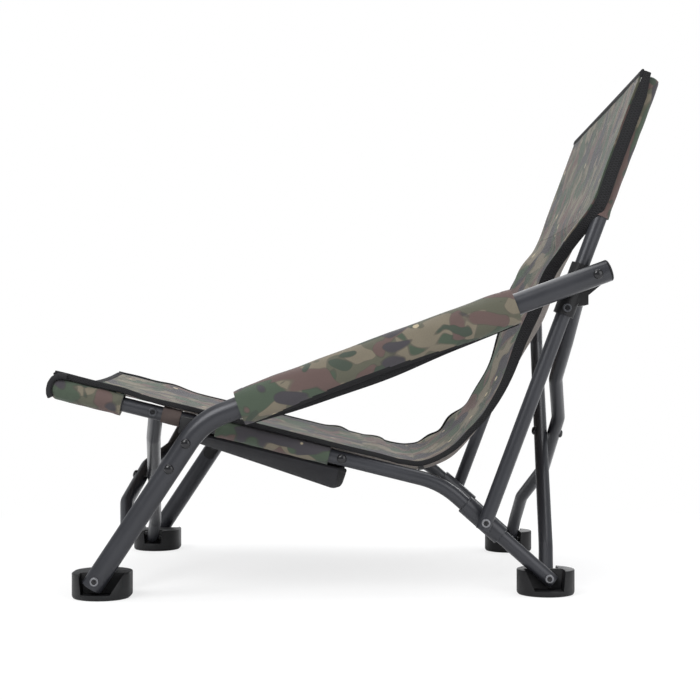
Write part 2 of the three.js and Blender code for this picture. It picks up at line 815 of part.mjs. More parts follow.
// The two braces that cross at the front or at the rear, and the rivet between them.
function bracePair(where, lowPivot, highPivot, offset, lowDegrees, highBendShare, crankedFrom, way) {
  const group = new THREE.Group();
  const plane = bracePlane(lowPivot, highPivot);
  const crank = way * (2 * tubeRadius + braceGap);
  const centre = place(lowPivot.clone().lerp(highPivot, 1 / 2), 0);
  const outward = place(plane.aside, 0).multiplyScalar(way);
  const away = (distance) => centre.clone().addScaledVector(outward, distance);
  const face = tubeRadius + touch;
  const width = 2 * tubeRadius + braceGap;
  const hole = rod(away(-face - overrun), away(width + face + overrun), holeRadius, holeSides);
  for (const side of ["left", "right"]) {
    const shift = side === crankedFrom ? crank : 0;
    const body = brace(plane, offset, THREE.MathUtils.degToRad(lowDegrees), highBendShare, shift);
    const placed = side === "right" ? body.mirror([0, 1, 0]) : body;
    group.add(meshOf(`${where}_brace_from_${side}_foot`, placed.subtract(hole), paintedSteel));
  }
  const rivet = bolt(away(-face), outward, width + 2 * face, false, nutHeight);
  group.add(meshOf(`${where}_brace_rivet`, rivet, blackSteel));
  return group;
}

// A sheet of cloth as a closed solid: a grid over a box whose points follow a surface.
function sheet(rows, columns, thickness, surface) {
  const geometry = new THREE.BoxGeometry(1, 1, 1, rows, columns, 1);
  const points = geometry.attributes.position;
  for (let i = 0; i < points.count; i++) {
    const u = points.getX(i) + 1 / 2;
    const v = points.getY(i) + 1 / 2;
    const here = surface(u, v);
    const byU = surface(u + stepShare, v).sub(surface(u - stepShare, v));
    const byV = surface(u, v + stepShare).sub(surface(u, v - stepShare));
    here.addScaledVector(byU.cross(byV).normalize(), points.getZ(i) * thickness);
    points.setXYZ(i, here.x, here.y, here.z);
  }
  return solidOf(geometry);
}

// The rows of the sling from the front of the seat to the top of the back: the places of its edge and
// its middle in the side view, and half its width.
function slingRows() {
  const lay = touch * 2 + clothThickness / 2;
  const seatHalf = railOffset + seatOverhang;
  const backHalf = poleOffset + backOverhang;
  const overRail = (radius) => ([distanceShare, sagShare, halfShare]) => {
    const distance = seatLength * distanceShare;
    return {
      edge: beside(railTip, railCorner, distance, radius + lay),
      middle: beside(railTip, railCorner, distance, radius + lay - seatSag * sagShare),
      half: seatHalf * halfShare,
    };
  };
  const waistFoot = beside(railTip, railCorner, waistFootDistance, waistFootHeight);
  const waistTop = beside(poleTop, polePivot, waistTopDistance, -waistTopHeight);
  const within = (xShare, zShare) =>
    at(
      THREE.MathUtils.lerp(waistFoot.x, waistTop.x, xShare),
      THREE.MathUtils.lerp(waistFoot.y, waistTop.y, zShare),
    );
  const hangingFree = ([edgeX, edgeZ, middleX, middleZ, halfShare]) => ({
    edge: within(edgeX, edgeZ),
    middle: within(middleX, middleZ),
    half: seatHalf * halfShare,
  });
  const onPoles = ([distanceShare, sagShare, archShare, halfShare]) => {
    const distance = backLength * distanceShare;
    const height = -sleeveRadius - lay - touch * 2;
    return {
      edge: beside(poleTop, polePivot, distance, height),
      middle: beside(poleTop, polePivot, distance - backArch * archShare, height + backSag * sagShare),
      half: backHalf * halfShare,
    };
  };
  return [
    ...pocketRowShares.map(overRail(pocketRadius)),
    ...seatRowShares.map(overRail(sleeveRadius)),
    ...waistRowShares.map(hangingFree),
    ...backRowShares.map(onPoles),
  ];
}

// The sling's middle surface, by rows from front to top and by a share of its half width.
function slingSurface() {
  const rows = slingRows();
  const through = (pick) => new THREE.CatmullRomCurve3(rows.map(pick));
  const edges = through((row) => place(row.edge, 0));
  const middles = through((row) => place(row.middle, 0));
  const halves = through((row, i) => new THREE.Vector3(i * seatLength, 0, row.half));
  return (row, across) => {
    const share = THREE.MathUtils.clamp(row / (rows.length - 1), 0, 1);
    const hang = Math.max(0, 1 - (across / flatEdgeShare) ** 2);
    const point = edges.getPoint(share).lerp(middles.getPoint(share), hang);
    point.y = across * halves.getPoint(share).z;
    return point;
  };
}

// A panel of the sling between two of its rows, with room for a seam at each end. Its columns are
// closer together at its edges.
function slingPanel(surface, firstRow, lastRow, steps) {
  const edge = (Math.PI / 2) * edgeCrowdingShare;
  return sheet(steps, slingColumns, clothThickness, (u, v) => {
    const across = Math.sin(edge * (2 * v - 1)) / Math.sin(edge);
    return surface(THREE.MathUtils.lerp(firstRow + seamShare, lastRow - seamShare, u), across);
  });
}

// The dark band that hangs from the seat sleeves under the seat.
function underBand() {
  const halfWidth = railOffset - bandInset;
  const below = -(sleeveRadius + touch + bandThickness / 2);
  return sheet(bandSteps, bandColumns, bandThickness, (u, v) => {
    const across = 2 * v - 1;
    const middle = Math.pow(Math.max(0, 1 - across ** 2), bandSagPower);
    const sag = (bandSag + bandRearSag * u) * middle;
    const corner = bandCorner * Math.max(0, u - bandCornerShare) * middle;
    const distance = bandStart + bandLength * u - corner;
    return place(beside(frontBraceTop, railCorner, distance, below - sag), across * halfWidth);
  });
}

const frame = new THREE.Group();
frame.add(sideFrame("left"), sideFrame("right"));
const frontPivots = [frontFootPivot, frontBraceTop, frontBraceOffset, frontLowDegrees, frontHighBendShare];
const rearPivots = [rearFootPivot, rearBraceTop, rearBraceOffset, rearLowDegrees, rearHighBendShare];
frame.add(bracePair("front", ...frontPivots, "left", -1));
frame.add(bracePair("rear", ...rearPivots, "right", 1));
const surface = slingSurface();
frame.add(meshOf("seat_panel", slingPanel(surface, 0, seamRow, seatSteps), printedCloth));
frame.add(meshOf("waist_panel", slingPanel(surface, seamRow, backSeamRow, waistSteps), printedCloth));
frame.add(meshOf("back_panel", slingPanel(surface, backSeamRow, topRow, backSteps), printedCloth));
frame.add(meshOf("under_seat_band", underBand(), darkCloth));

// The chair stands on z = 0 with the middle of its outline at the origin.
const bounds = new THREE.Box3().setFromObject(frame);
frame.position.set(-(bounds.min.x + bounds.max.x) / 2, 0, -bounds.min.z);
const chair = new THREE.Group();
chair.add(frame);
export default chair;
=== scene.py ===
# Low folding fishing chair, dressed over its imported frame: tube side frames, crossed braces, swivelling
# mud feet, padded arms and a printed cloth sling. Lengths are millimetres until a mesh is made.
import math

import bpy
import numpy as np
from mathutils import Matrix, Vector


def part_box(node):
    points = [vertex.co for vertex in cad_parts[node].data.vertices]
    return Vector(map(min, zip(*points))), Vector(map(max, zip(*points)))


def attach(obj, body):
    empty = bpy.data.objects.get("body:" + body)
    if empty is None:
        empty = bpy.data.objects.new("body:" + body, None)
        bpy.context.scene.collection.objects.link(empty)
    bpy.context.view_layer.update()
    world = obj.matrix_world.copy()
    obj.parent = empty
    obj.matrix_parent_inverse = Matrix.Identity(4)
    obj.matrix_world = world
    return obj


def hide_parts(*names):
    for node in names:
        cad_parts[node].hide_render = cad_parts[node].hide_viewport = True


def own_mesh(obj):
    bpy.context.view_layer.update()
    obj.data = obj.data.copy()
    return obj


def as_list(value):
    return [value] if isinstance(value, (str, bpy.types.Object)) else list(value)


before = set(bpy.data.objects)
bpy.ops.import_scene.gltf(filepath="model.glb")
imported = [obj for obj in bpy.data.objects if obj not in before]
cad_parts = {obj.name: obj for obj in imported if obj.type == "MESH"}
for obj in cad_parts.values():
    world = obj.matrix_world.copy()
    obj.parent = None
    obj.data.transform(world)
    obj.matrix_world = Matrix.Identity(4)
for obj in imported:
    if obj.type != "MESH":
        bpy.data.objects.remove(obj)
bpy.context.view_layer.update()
MM = 0.001


# A place in the side view: x towards the rear, z up
def at(x, z):
    return np.array([x, z], float)


FRONT_FOOT = at(-359.2, 25.2)
REAR_FOOT = at(218.9, 22)
FRONT_BRACE_TOP = at(-292.5, 237.2)
REAR_BRACE_TOP = at(259.7, 383.4)
POLE_PIVOT = at(135.2, 96.2)
POLE_TOP = at(345.6, 658)
ARM_CORNER = at(-225.8, 226.7)
ARM_END = at(288.4, 417.2)
RAIL_CORNER = at(79.7, 145.1)

# Tubes and their distances from the middle plane
TUBE = 9.5
TUBE_WALL = 1.2
LEG = 14
LEG_WALL = 1.5
LEG_BEND = 95
RAIL_BEND = 110
BRACE_BEND = 45
FERRULE = 12.5
FERRULE_GAP = 0.8
POLE_GAP = 1.2
RAIL_Y = 252
POLE_Y = RAIL_Y + FERRULE + FERRULE_GAP + TUBE
LEG_Y = POLE_Y + TUBE + POLE_GAP + LEG
FRONT_BRACE_Y = 231
REAR_BRACE_Y = 224.7
TOUCH = 0.3
CRANK = 2 * TUBE + 0.6

# Feet
FOOT_RADIUS = 37.5
FOOT_HEIGHT = 33
FOOT_FLOOR = 7.2
FRONT_FOOT_SHIFT = 2.8
PAST_FOOT = 7  # how far a brace runs past its foot's pivot
CUT_PAST = 2  # how far a cutter stands out of what it cuts

# Cloth
SLEEVE = 12
POCKET = 14.6
CLOTH = 3
SIDE_BINDING = 5
END_BINDING = 11
END_BINDING_THICKNESS = 6
BINDING_OVERRUN = 1.2
BINDING_STEP = 1.8
TAPE = 1.2
TAPE_BELOW = 0.7
TAPE_SHARE = 0.985
TAPE_REACH = 0.12  # in rows of the sling
SEAM_GAP = 0.006  # in rows of the sling
POCKET_LENGTH = 84
COVER_PAST_END = 8
BACK_TUNNEL_LENGTH = 182

# The padded sleeves on the armrests
PAD_START = 51
PAD_LENGTH = 372
PAD_ABOVE = 22.6
PAD_BELOW = 25.6
PAD_HALF_WIDTH = 18.4
PAD_PRINT_RADIUS = 21
PAD_UNDERSIDE = 25.8
PAD_UNDERSIDE_RISE = 8.2
PAD_HEM = 11
PAD_GROOVE_END = 13.5
FLAP = 3.4
FLAP_TOP = 19
FLAP_BELOW = 6.4
FLAP_MARGIN = 0.012

# The frame's own place tells where the side view's zero lies.
foot_low, foot_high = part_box("left_front_foot")
SHIFT = (foot_low[0] + foot_high[0]) / 2 / MM - FRONT_FOOT[0] - FRONT_FOOT_SHIFT


def unit(vector):
    return vector / np.linalg.norm(vector)


# The place that is a distance along a line of the side view from its start, and a height above it
def beside(start, end, distance, height=0.0):
    run = unit(end - start)
    return start + run * distance + at(-run[1], run[0]) * height


def along(start, end, distance):
    return beside(start, end, distance)


def place(side, y):
    return np.array([side[0], y, side[1]], float)


def places(spots, y):
    return [place(spot, y) for spot in spots]


# Places at some distances along a line of the side view, all of them at one y
def places_along(start, end, distances, y):
    return places([along(start, end, distance) for distance in distances], y)


RAIL_TIP = along(FRONT_BRACE_TOP, RAIL_CORNER, -126)
ARM_BOLT = along(ARM_END, ARM_CORNER, 15.7)
RAIL_RIVET = along(FRONT_BRACE_TOP, RAIL_CORNER, 251)
SADDLE_BOLTS = [along(ARM_CORNER, FRONT_FOOT, distance) for distance in (33.5, 72)]
GUIDE_SCREW = along(POLE_PIVOT, POLE_TOP, 293)

# The photograph's viewing angle, fitted in pixels of its 700 by 700 frame
PHOTO_SIZE = 700
PHOTO_CENTRE = (350.5, 374.3)
FOCAL_PIXELS = 1497.7
CAMERA_PLACE = (-29.8, -2192.9, 286)
CAMERA_TURN = 0.004


def new_object(name, data):
    thing = bpy.data.objects.new(name, data)
    bpy.context.collection.objects.link(thing)
    return thing


def add_camera():
    data = bpy.data.cameras.new("camera")
    data.sensor_width = 36
    data.lens = FOCAL_PIXELS * data.sensor_width / PHOTO_SIZE
    data.shift_x = (PHOTO_SIZE / 2 - PHOTO_CENTRE[0]) / PHOTO_SIZE
    data.shift_y = (PHOTO_CENTRE[1] - PHOTO_SIZE / 2) / PHOTO_SIZE
    camera = new_object("camera", data)
    x, y, z = CAMERA_PLACE
    camera.location = ((SHIFT + x) * MM, y * MM, z * MM)
    camera.rotation_euler = (math.pi / 2, 0, CAMERA_TURN)
    bpy.context.scene.camera = camera


# The node tree of a material or a world
class Nodes:
    def __init__(self, owner):
        owner.use_nodes = True
        self.owner = owner
        self.tree = owner.node_tree
        self.tree.nodes.clear()

    def add(self, kind, inputs=None, **settings):
        node = self.tree.nodes.new("ShaderNode" + kind)
        for key, value in settings.items():
            setattr(node, key, value)
        for key, value in (inputs or {}).items():
            if isinstance(value, bpy.types.NodeSocket):
                self.tree.links.new(value, node.inputs[key])
            else:
                node.inputs[key].default_value = value
        return node

    def here(self):
        return self.add("TexCoord").outputs["Object"]

    def cloth(self):
        return self.add("Attribute", attribute_name="cloth").outputs["Vector"]

    def math(self, operation, a, b=0.0):
        return self.add("Math", {0: a, 1: b}, operation=operation).outputs[0]

    def mix(self, factor, a, b):
        return self.add("Mix", {0: factor, 6: a, 7: b}, data_type="RGBA").outputs[2]

    def noise(self, vector, scale, detail=2.0, roughness=0.5, distortion=0.0):
        inputs = {"Vector": vector, "Scale": scale, "Detail": detail, "Roughness": roughness}
        return self.add("TexNoise", {**inputs, "Distortion": distortion}).outputs["Fac"]

    def ramp(self, value, low, high, bottom=0.0, top=1.0):
        inputs = {"Value": value, "From Min": low, "From Max": high, "To Min": bottom, "To Max": top}
        return self.add("MapRange", inputs).outputs["Result"]

    def bump(self, height, strength, distance, normal=None):
        inputs = {"Height": height, "Strength": strength, "Distance": distance}
        if normal is not None:
            inputs["Normal"] = normal
        return self.add("Bump", inputs).outputs["Normal"]

    def output(self, shader, kind="OutputMaterial"):
        self.tree.links.new(shader.outputs[0], self.add(kind).inputs[0])
        return self.owner

    def finish(self, **inputs):
        return self.output(
            self.add("BsdfPrincipled", {key.replace("_", " "): value for key, value in inputs.items()})
        )


def material_nodes(name):
    return Nodes(bpy.data.materials.new(name))


def srgb(red, green, blue):
    channels = [value / 255 for value in (red, green, blue)]
    linear = [c / 12.92 if c <= 0.04045 else ((c + 0.055) / 1.055) ** 2.4 for c in channels]
    return (*linear, 1)


# Satin powder coat: a fine orange-peel bump and cloudy polish
def painted_steel():
    nodes = material_nodes("satin_paint")
    here = nodes.here()
    cloudy = nodes.noise(here, 9, 3, 0.6)
    colour = nodes.mix(cloudy, srgb(31, 32, 36), srgb(45, 46, 51))
    rough = nodes.ramp(cloudy, 0.3, 0.7, 0.3, 0.42)
    peel = nodes.bump(nodes.noise(here, 900, 2), 0.12, 0.0004)
    return nodes.finish(Base_Color=colour, Metallic=0.3, Roughness=rough, Normal=peel)


# Moulded black nylon: fine grain, dusty on its upper faces
def moulded_plastic():
    nodes = material_nodes("moulded_nylon")
    here = nodes.here()
    up = nodes.add("SeparateXYZ", {0: nodes.add("NewGeometry").outputs["Normal"]}).outputs[2]
    dust = nodes.math("MULTIPLY", nodes.noise(here, 40, 4, 0.65), nodes.ramp(up, 0.3, 1.0))
    colour = nodes.mix(nodes.math("MULTIPLY", dust, 0.3), srgb(11, 11, 13), srgb(28, 28, 30))
    grain = nodes.bump(nodes.noise(here, 1500, 2), 0.2, 0.0004)
    return nodes.finish(Base_Color=colour, Roughness=0.5, Normal=grain, Specular_IOR_Level=0.3)


def black_bolt():
    nodes = material_nodes("black_bolt")
    marks = nodes.noise(nodes.here(), 500, 3)
    colour = nodes.mix(marks, srgb(14, 14, 16), srgb(28, 28, 31))
    return nodes.finish(Base_Color=colour, Metallic=0.3, Roughness=nodes.ramp(marks, 0, 1, 0.12, 0.24))


def ring_bolt(name, dark, light):
    nodes = material_nodes(name)
    colour = nodes.mix(nodes.noise(nodes.here(), 700, 3), dark, light)
    return nodes.finish(Base_Color=colour, Metallic=0.85, Roughness=0.4)


# Woven threads: cloth is each point's place on the flat cut, in metres, so the threads keep their size
def weave(nodes, cloth, pitch=0.0011):
    parts = nodes.add("SeparateXYZ", {0: cloth})
    waves = []
    for axis in (0, 1):
        turns = nodes.math("MULTIPLY", parts.outputs[axis], 2 * math.pi / pitch)
        waves.append(nodes.math("SINE", turns))
    return nodes.math("MULTIPLY", *waves)


# Woodland blobs, from the lowest layer up: where the noise starts, its scale and stretch, the value that
# the blob begins at, and its colour
BLOB_LAYERS = [
    ((0.31, 0.7, 0), 26, 0.75, 0.53, (76, 76, 62)),
    ((1.4, 0.2, 0), 21, 0.7, 0.54, (56, 69, 54)),
    ((2.7, 1.9, 0), 24, 0.75, 0.56, (84, 66, 62)),
    ((4.1, 3.3, 0), 23, 0.65, 0.575, (52, 49, 54)),
    ((7.9, 5.1, 0), 34, 0.8, 0.63, (50, 60, 49)),
]


# A printed woodland pattern of soft blobs with darker rims, and small cream flecks. The reverse is the
# same print showing faintly through a brown coating.
def camouflage(name, fade=0.0):
    nodes = material_nodes(name)
    cloth = nodes.cloth()
    colour = nodes.mix(nodes.noise(cloth, 30, 2), srgb(98, 91, 77), srgb(112, 104, 88))
    for start, scale, stretch, low, tint in BLOB_LAYERS:
        moved = nodes.add("Mapping", {"Vector": cloth, "Location": start, "Scale": (stretch, 1, 1)})
        value = nodes.noise(moved.outputs[0], scale, 1.2, 0.4, 0.5)
        rim = nodes.math("MULTIPLY", nodes.ramp(value, low - 0.006, low + 0.001), 0.45)
        colour = nodes.mix(rim, colour, srgb(44, 42, 38))
        colour = nodes.mix(nodes.ramp(value, low, low + 0.014), colour, srgb(*tint))
    cells = nodes.add("TexVoronoi", {"Vector": cloth, "Scale": 27, "Randomness": 1.0}, feature="F1")
    chosen = nodes.ramp(nodes.noise(cloth, 15, 1), 0.48, 0.49)
    flecks = nodes.math("MULTIPLY", nodes.ramp(cells.outputs["Distance"], 0.125, 0.105), chosen)
    colour = nodes.mix(nodes.math("MULTIPLY", flecks, 0.85), colour, srgb(176, 162, 134))
    if fade:
        colour = nodes.mix(fade, colour, srgb(104, 92, 84))
    jitter = nodes.math("MULTIPLY", nodes.noise(cloth, 700, 2), 0.3)
    colour = nodes.mix(jitter, colour, srgb(30, 29, 28))
    normal = nodes.bump(weave(nodes, cloth), 0.4, 0.0005)
    normal = nodes.bump(nodes.noise(cloth, 26, 3, 0.55), 0.35, 0.004, normal)
    return nodes.finish(
        Base_Color=colour, Roughness=0.84, Normal=normal, Sheen_Weight=0.1, Sheen_Roughness=0.45
    )


# Black knitted edge binding
def binding_cloth():
    nodes = material_nodes("knit_binding")
    holes = weave(nodes, nodes.cloth(), 0.0034)
    colour = nodes.mix(nodes.ramp(holes, -0.2, 0.6), srgb(26, 26, 28), srgb(12, 12, 13))
    normal = nodes.bump(holes, 0.7, 0.0008)
    return nodes.finish(Base_Color=colour, Roughness=0.85, Normal=normal, Specular_IOR_Level=0.3)


def plain_cloth(name, dark, light, pitch=0.0014):
    nodes = material_nodes(name)
    cloth = nodes.cloth()
    colour = nodes.mix(nodes.noise(cloth, 30, 3), dark, light)
    normal = nodes.bump(weave(nodes, cloth, pitch), 0.5, 0.0005)
    normal = nodes.bump(nodes.noise(cloth, 22, 2), 0.3, 0.004, normal)
    return nodes.finish(Base_Color=colour, Roughness=0.88, Normal=normal, Specular_IOR_Level=0.3)


PAINT = painted_steel()
NYLON = moulded_plastic()
BOLT = black_bolt()
RING = ring_bolt("ring_bolt", srgb(96, 97, 100), srgb(134, 134, 137))
DARK_RING = ring_bolt("dark_ring_bolt", srgb(52, 53, 56), srgb(74, 75, 78))
CAMO = camouflage("woodland_cloth")
CAMO_BACK = camouflage("woodland_cloth_reverse", fade=0.72)
BINDING = binding_cloth()
BAND = plain_cloth("grey_band", srgb(26, 26, 29), srgb(38, 38, 42))
STRAP = plain_cloth("brown_webbing", srgb(58, 49, 48), srgb(78, 68, 64), 0.002)
dict.fromkeys((BOLT, RING, DARK_RING), "black_steel")
dict.fromkeys((BINDING, BAND, STRAP), "dark_cloth")


def shade(mesh, sharp_degrees=35):
    mesh.polygons.foreach_set("use_smooth", [True] * len(mesh.polygons))
    mesh.set_sharp_from_angle(angle=math.radians(sharp_degrees))


# A piece from points in millimetres; cloth gives each point's place on the flat cut, in metres
def make(name, points, faces, material, cloth=None, sharp_degrees=35):
    metres = (np.asarray(points, float) + np.array([SHIFT, 0, 0])) * MM
    mesh = bpy.data.meshes.new(name)
    mesh.from_pydata(metres.tolist(), [], [list(map(int, face)) for face in faces])
    mesh.validate()
    if cloth is not None:
        layer = mesh.attributes.new("cloth", "FLOAT_VECTOR", "POINT")
        layer.data.foreach_set("vector", np.asarray(cloth, np.float32).ravel())
    shade(mesh, sharp_degrees)
    mesh.materials.append(material)
    return new_object(name, mesh)


def settle(piece):
    graph = bpy.context.evaluated_depsgraph_get()
    mesh = bpy.data.meshes.new_from_object(piece.evaluated_get(graph))
    piece.modifiers.clear()
    piece.data = mesh


def combine(piece, others, operation):
    for other in others:
        change = piece.modifiers.new("cut", "BOOLEAN")
        change.operation = operation
        change.solver = "EXACT"
        change.object = other
    settle(piece)
    for other in others:
        bpy.data.objects.remove(other, do_unlink=True)


# Rounds the moulded edges of a piece after its cuts
def ease(piece, width):
    change = piece.modifiers.new("ease", "BEVEL")
    change.width = width * MM
    change.segments = 2
    change.limit_method = "ANGLE"
    change.angle_limit = math.radians(38)
    settle(piece)
    shade(piece.data)
    return piece


# Points and directions along a line with rounded corners
def bent_path(corners, radii, step_degrees=4):
    runs = [unit(b - a) for a, b in zip(corners, corners[1:])]
    points, tangents = [corners[0]], [runs[0]]
    for radius, into, out, corner in zip(radii, runs, runs[1:], corners[1:]):
        turn = math.acos(max(-1, min(1, float(into @ out))))
        if turn < 0.001:
            continue
        inward = unit(out - into * math.cos(turn))
        start = corner - into * radius * math.tan(turn / 2)
        steps = max(2, round(math.degrees(turn) / step_degrees))
        for k in range(steps + 1):
            angle = turn * k / steps
            points.append(start + into * radius * math.sin(angle) + inward * radius * (1 - math.cos(angle)))
            tangents.append(into * math.cos(angle) + inward * math.sin(angle))
    points.append(corners[-1])
    tangents.append(runs[-1])
    return np.array(points), np.array(tangents)


# Two directions square to each tangent, carried along the path without twist
def carried(tangents):
    start = np.array([0, 1, 0], float)
    if abs(tangents[0] @ start) > 0.9:
        start = np.array([1, 0, 0], float)
    sides = [unit(start - tangents[0] * (tangents[0] @ start))]
    for tangent in tangents[1:]:
        side = sides[-1]
        sides.append(unit(side - tangent * (tangent @ side)))
    return np.array(sides), np.cross(tangents, sides)


def grid_faces(rows, columns, closed, base=0, flip=False):
    faces = []
    for i in range(rows - 1):
        for j in range(columns if closed else columns - 1):
            k = (j + 1) % columns
            a, b = base + i * columns + j, base + i * columns + k
            c, d = b + columns, a + columns
            faces.append((a, d, c, b) if flip else (a, b, c, d))
    return faces


# Faces that close both ends between an outer grid and the inner one that starts at base
def rim_faces(rows, sides, base, flip_first):
    faces = []
    for row, flip in ((0, flip_first), (rows - 1, not flip_first)):
        for j in range(sides):
            a, b = row * sides + j, row * sides + (j + 1) % sides
            loop = (a, base + a, base + b, b)
            faces.append(loop[::-1] if flip else loop)
    return faces


# A bent tube with a wall and a small chamfer at its cut ends
def tube(name, corners, radii, radius, wall, material, sides=32):
    points, tangents = bent_path(corners, radii)
    chamfer = 0.5
    first, last = points[:1], points[-1:]
    after, before = first + tangents[0] * chamfer, last - tangents[-1] * chamfer
    points = np.vstack([first, after, points[1:-1], before, last])
    tangents = np.vstack([tangents[:1], tangents, tangents[-1:]])
    sizes = np.full(len(points), float(radius))
    sizes[0] = sizes[-1] = radius - chamfer
    one, two = carried(tangents)
    angles = np.linspace(0, 2 * math.pi, sides, endpoint=False)[None, :, None]
    ring = np.cos(angles) * one[:, None, :] + np.sin(angles) * two[:, None, :]
    outer = points[:, None, :] + ring * sizes[:, None, None]
    inner = points[:, None, :] + ring * (radius - wall)
    rows = len(points)
    base = rows * sides
    faces = grid_faces(rows, sides, True) + grid_faces(rows, sides, True, base, True)
    faces += rim_faces(rows, sides, base, False)
    return make(name, np.vstack([outer.reshape(-1, 3), inner.reshape(-1, 3)]), faces, material)


# Rings of points about an axis, from an outline of radius and height. A radius of 0 gives a single point,
# and swell says how much a point stands proud of its ring.
def turned_rings(outline, origin, direction, sides, swell=None):
    one, two = (side[0] for side in carried(np.array([direction])))
    vertices, rings = [], []
    for radius, height in outline:
        centre = origin + direction * height
        count = sides if radius else 1
        rings.append(range(len(vertices), len(vertices) + count))
        for j in range(count):
            angle = 2 * math.pi * j / sides
            size = radius + (swell(radius, height, angle) if swell else 0)
            vertices.append(centre + (one * math.cos(angle) + two * math.sin(angle)) * size)
    return vertices, rings


# Faces between rings that follow each other, where a ring may be a single point
def ring_faces(rings):
    faces = []
    for low, high in zip(rings, rings[1:]):
        sides = max(len(low), len(high))
        if sides == 1:
            continue
        for j in range(sides):
            k = (j + 1) % sides
            if len(low) == 1:
                faces.append((low[0], high[k], high[j]))
            elif len(high) == 1:
                faces.append((low[j], low[k], high[0]))
            else:
                faces.append((low[j], low[k], high[k], high[j]))
    return faces


# A piece turned about an axis from an outline that starts and ends on the axis
def turned(name, outline, origin, direction, material, sides=40):
    vertices, rings = turned_rings(outline, origin, unit(direction), sides)
    return make(name, vertices, ring_faces(rings), material)


def rod(name, start, end, radius, material, sides=64):
    length = float(np.linalg.norm(end - start))
    outline = [(0, 0), (radius, 0), (radius, length), (0, length)]
    return turned(name, outline, start, end - start, material, sides)


# A plate: an outline in the side view between two distances from the middle plane
def plate(name, outline, inner, outer):
    count = len(outline)
    vertices = places(outline, inner) + places(outline, outer)
    faces = [tuple(range(count)), tuple(range(2 * count - 1, count - 1, -1))]
    for i in range(count):
        k = (i + 1) % count
        faces.append((i, count + i, count + k, k))
    area = sum(a[0] * b[1] - b[0] * a[1] for a, b in zip(outline, outline[1:] + outline[:1]))
    if (area > 0) == (outer < inner):
        faces = [face[::-1] for face in faces]
    return make(name, vertices, faces, NYLON)


# One piece from several, with all of their materials
def join(name, pieces):
    vertices, faces, slots, base = [], [], [], 0
    materials = list(dict.fromkeys(m for piece in pieces for m in piece.data.materials))
    for piece in pieces:
        mesh = piece.data
        slots += [materials.index(mesh.materials[polygon.material_index]) for polygon in mesh.polygons]
        points = np.empty(len(mesh.vertices) * 3)
        mesh.vertices.foreach_get("co", points)
        vertices.append(points.reshape(-1, 3) / MM - np.array([SHIFT, 0, 0]))
        faces += [tuple(base + v for v in polygon.vertices) for polygon in mesh.polygons]
        base += len(mesh.vertices)
    for piece in pieces:
        bpy.data.objects.remove(piece, do_unlink=True)
    joined = make(name, np.vstack(vertices), faces, materials[0])
    for material in materials[1:]:
        joined.data.materials.append(material)
    joined.data.polygons.foreach_set("material_index", slots)
    return joined


# Says which body a piece moves with, and which nodes it stands for
def dress(piece, body, *nodes):
    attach(piece, body)
    if nodes:
        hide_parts(*nodes)


PLUG = [(0, -12), (12, -12), (12, 0.3), (14, 0.3), (13.7, 1.2), (12.4, 2.4), (9.5, 3.2), (5, 3.6), (0, 3.7)]


# How far the side frame's tubes run past the pivots that they are measured from
LEG_PAST_FOOT = 11
REAR_LEG_PAST_FOOT = 8
POLE_PAST_PIVOT = 10
RAIL_PAST_PIVOT = 12
FERRULE_UP = 33
FERRULE_DOWN = 29


# The steel side frame, one side at a time; way is -1 on the left and 1 on the right
def steel_side(side, way):
    def by_leg(distance):
        return along(POLE_PIVOT, REAR_FOOT, distance)

    leg, rail, pole = f"leg_arm_{side}", f"seat_rail_{side}", f"back_pole_{side}"
    leg_line = (along(FRONT_FOOT, ARM_CORNER, -LEG_PAST_FOOT), ARM_CORNER, ARM_END)
    rail_line = (RAIL_TIP, RAIL_CORNER, by_leg(RAIL_PAST_PIVOT))
    rear_leg_line = (by_leg(RAIL_PAST_PIVOT + 0.6), along(REAR_FOOT, POLE_PIVOT, -REAR_LEG_PAST_FOOT))
    ferrule_line = (by_leg(-FERRULE_UP), by_leg(FERRULE_DOWN))
    pole_line = (along(POLE_PIVOT, POLE_TOP, -POLE_PAST_PIVOT), POLE_TOP)
    tubes = [
        ("leg", leg_line, LEG_Y, [LEG_BEND], LEG, LEG_WALL, leg, "leg_and_arm_tube"),
        ("rail", rail_line, RAIL_Y, [RAIL_BEND], TUBE, TUBE_WALL, rail, "seat_rail"),
        ("rear_leg", rear_leg_line, RAIL_Y, [], TUBE, TUBE_WALL, rail, "rear_leg"),
        ("ferrule", ferrule_line, RAIL_Y, [], FERRULE, FERRULE - TUBE - TOUCH, rail, "ferrule"),
        ("back_pole_tube", pole_line, POLE_Y, [], TUBE, TUBE_WALL, pole, "back_pole"),
    ]
    for name, line, y, bends, radius, wall, body, node in tubes:
        corners = places(line, way * y)
        sides = 40 if radius == LEG else 32
        dress(tube(f"{name}_{side}", corners, bends, radius, wall, PAINT, sides), body, f"{side}_{node}")
    end = place(ARM_END, way * LEG_Y)
    plug = turned(f"arm_plug_{side}", PLUG, end, place(ARM_END - ARM_CORNER, 0), NYLON)
    dress(plug, leg, f"{side}_arm_end_plug")


DOMED_HEAD = [(0, -3), (6.2, -3), (6.2, 0.2), (5.9, 1.1), (4.9, 2.2), (3.4, 3), (1.7, 3.4), (0, 3.5)]
RIVET_HEAD = DOMED_HEAD[:-2] + DOMED_HEAD[-1:]
RING_RIM = [(0, -3), (5.6, -3), (5.6, 1.5), (5.3, 2.1), (4.6, 2.4), (3.9, 2.4), (3.4, 2.2)]
# The hollow in the middle of a ring head, which is painted black as painted shade
RING_HOLLOW = [(3.1, 0.4), (0, 0.3)]
RING_PIN = [(0, 0), (1.3, 0), (1.3, 1.1), (1, 1.4), (0, 1.5)]
RING_SIDES = 40
NUT = 5.6
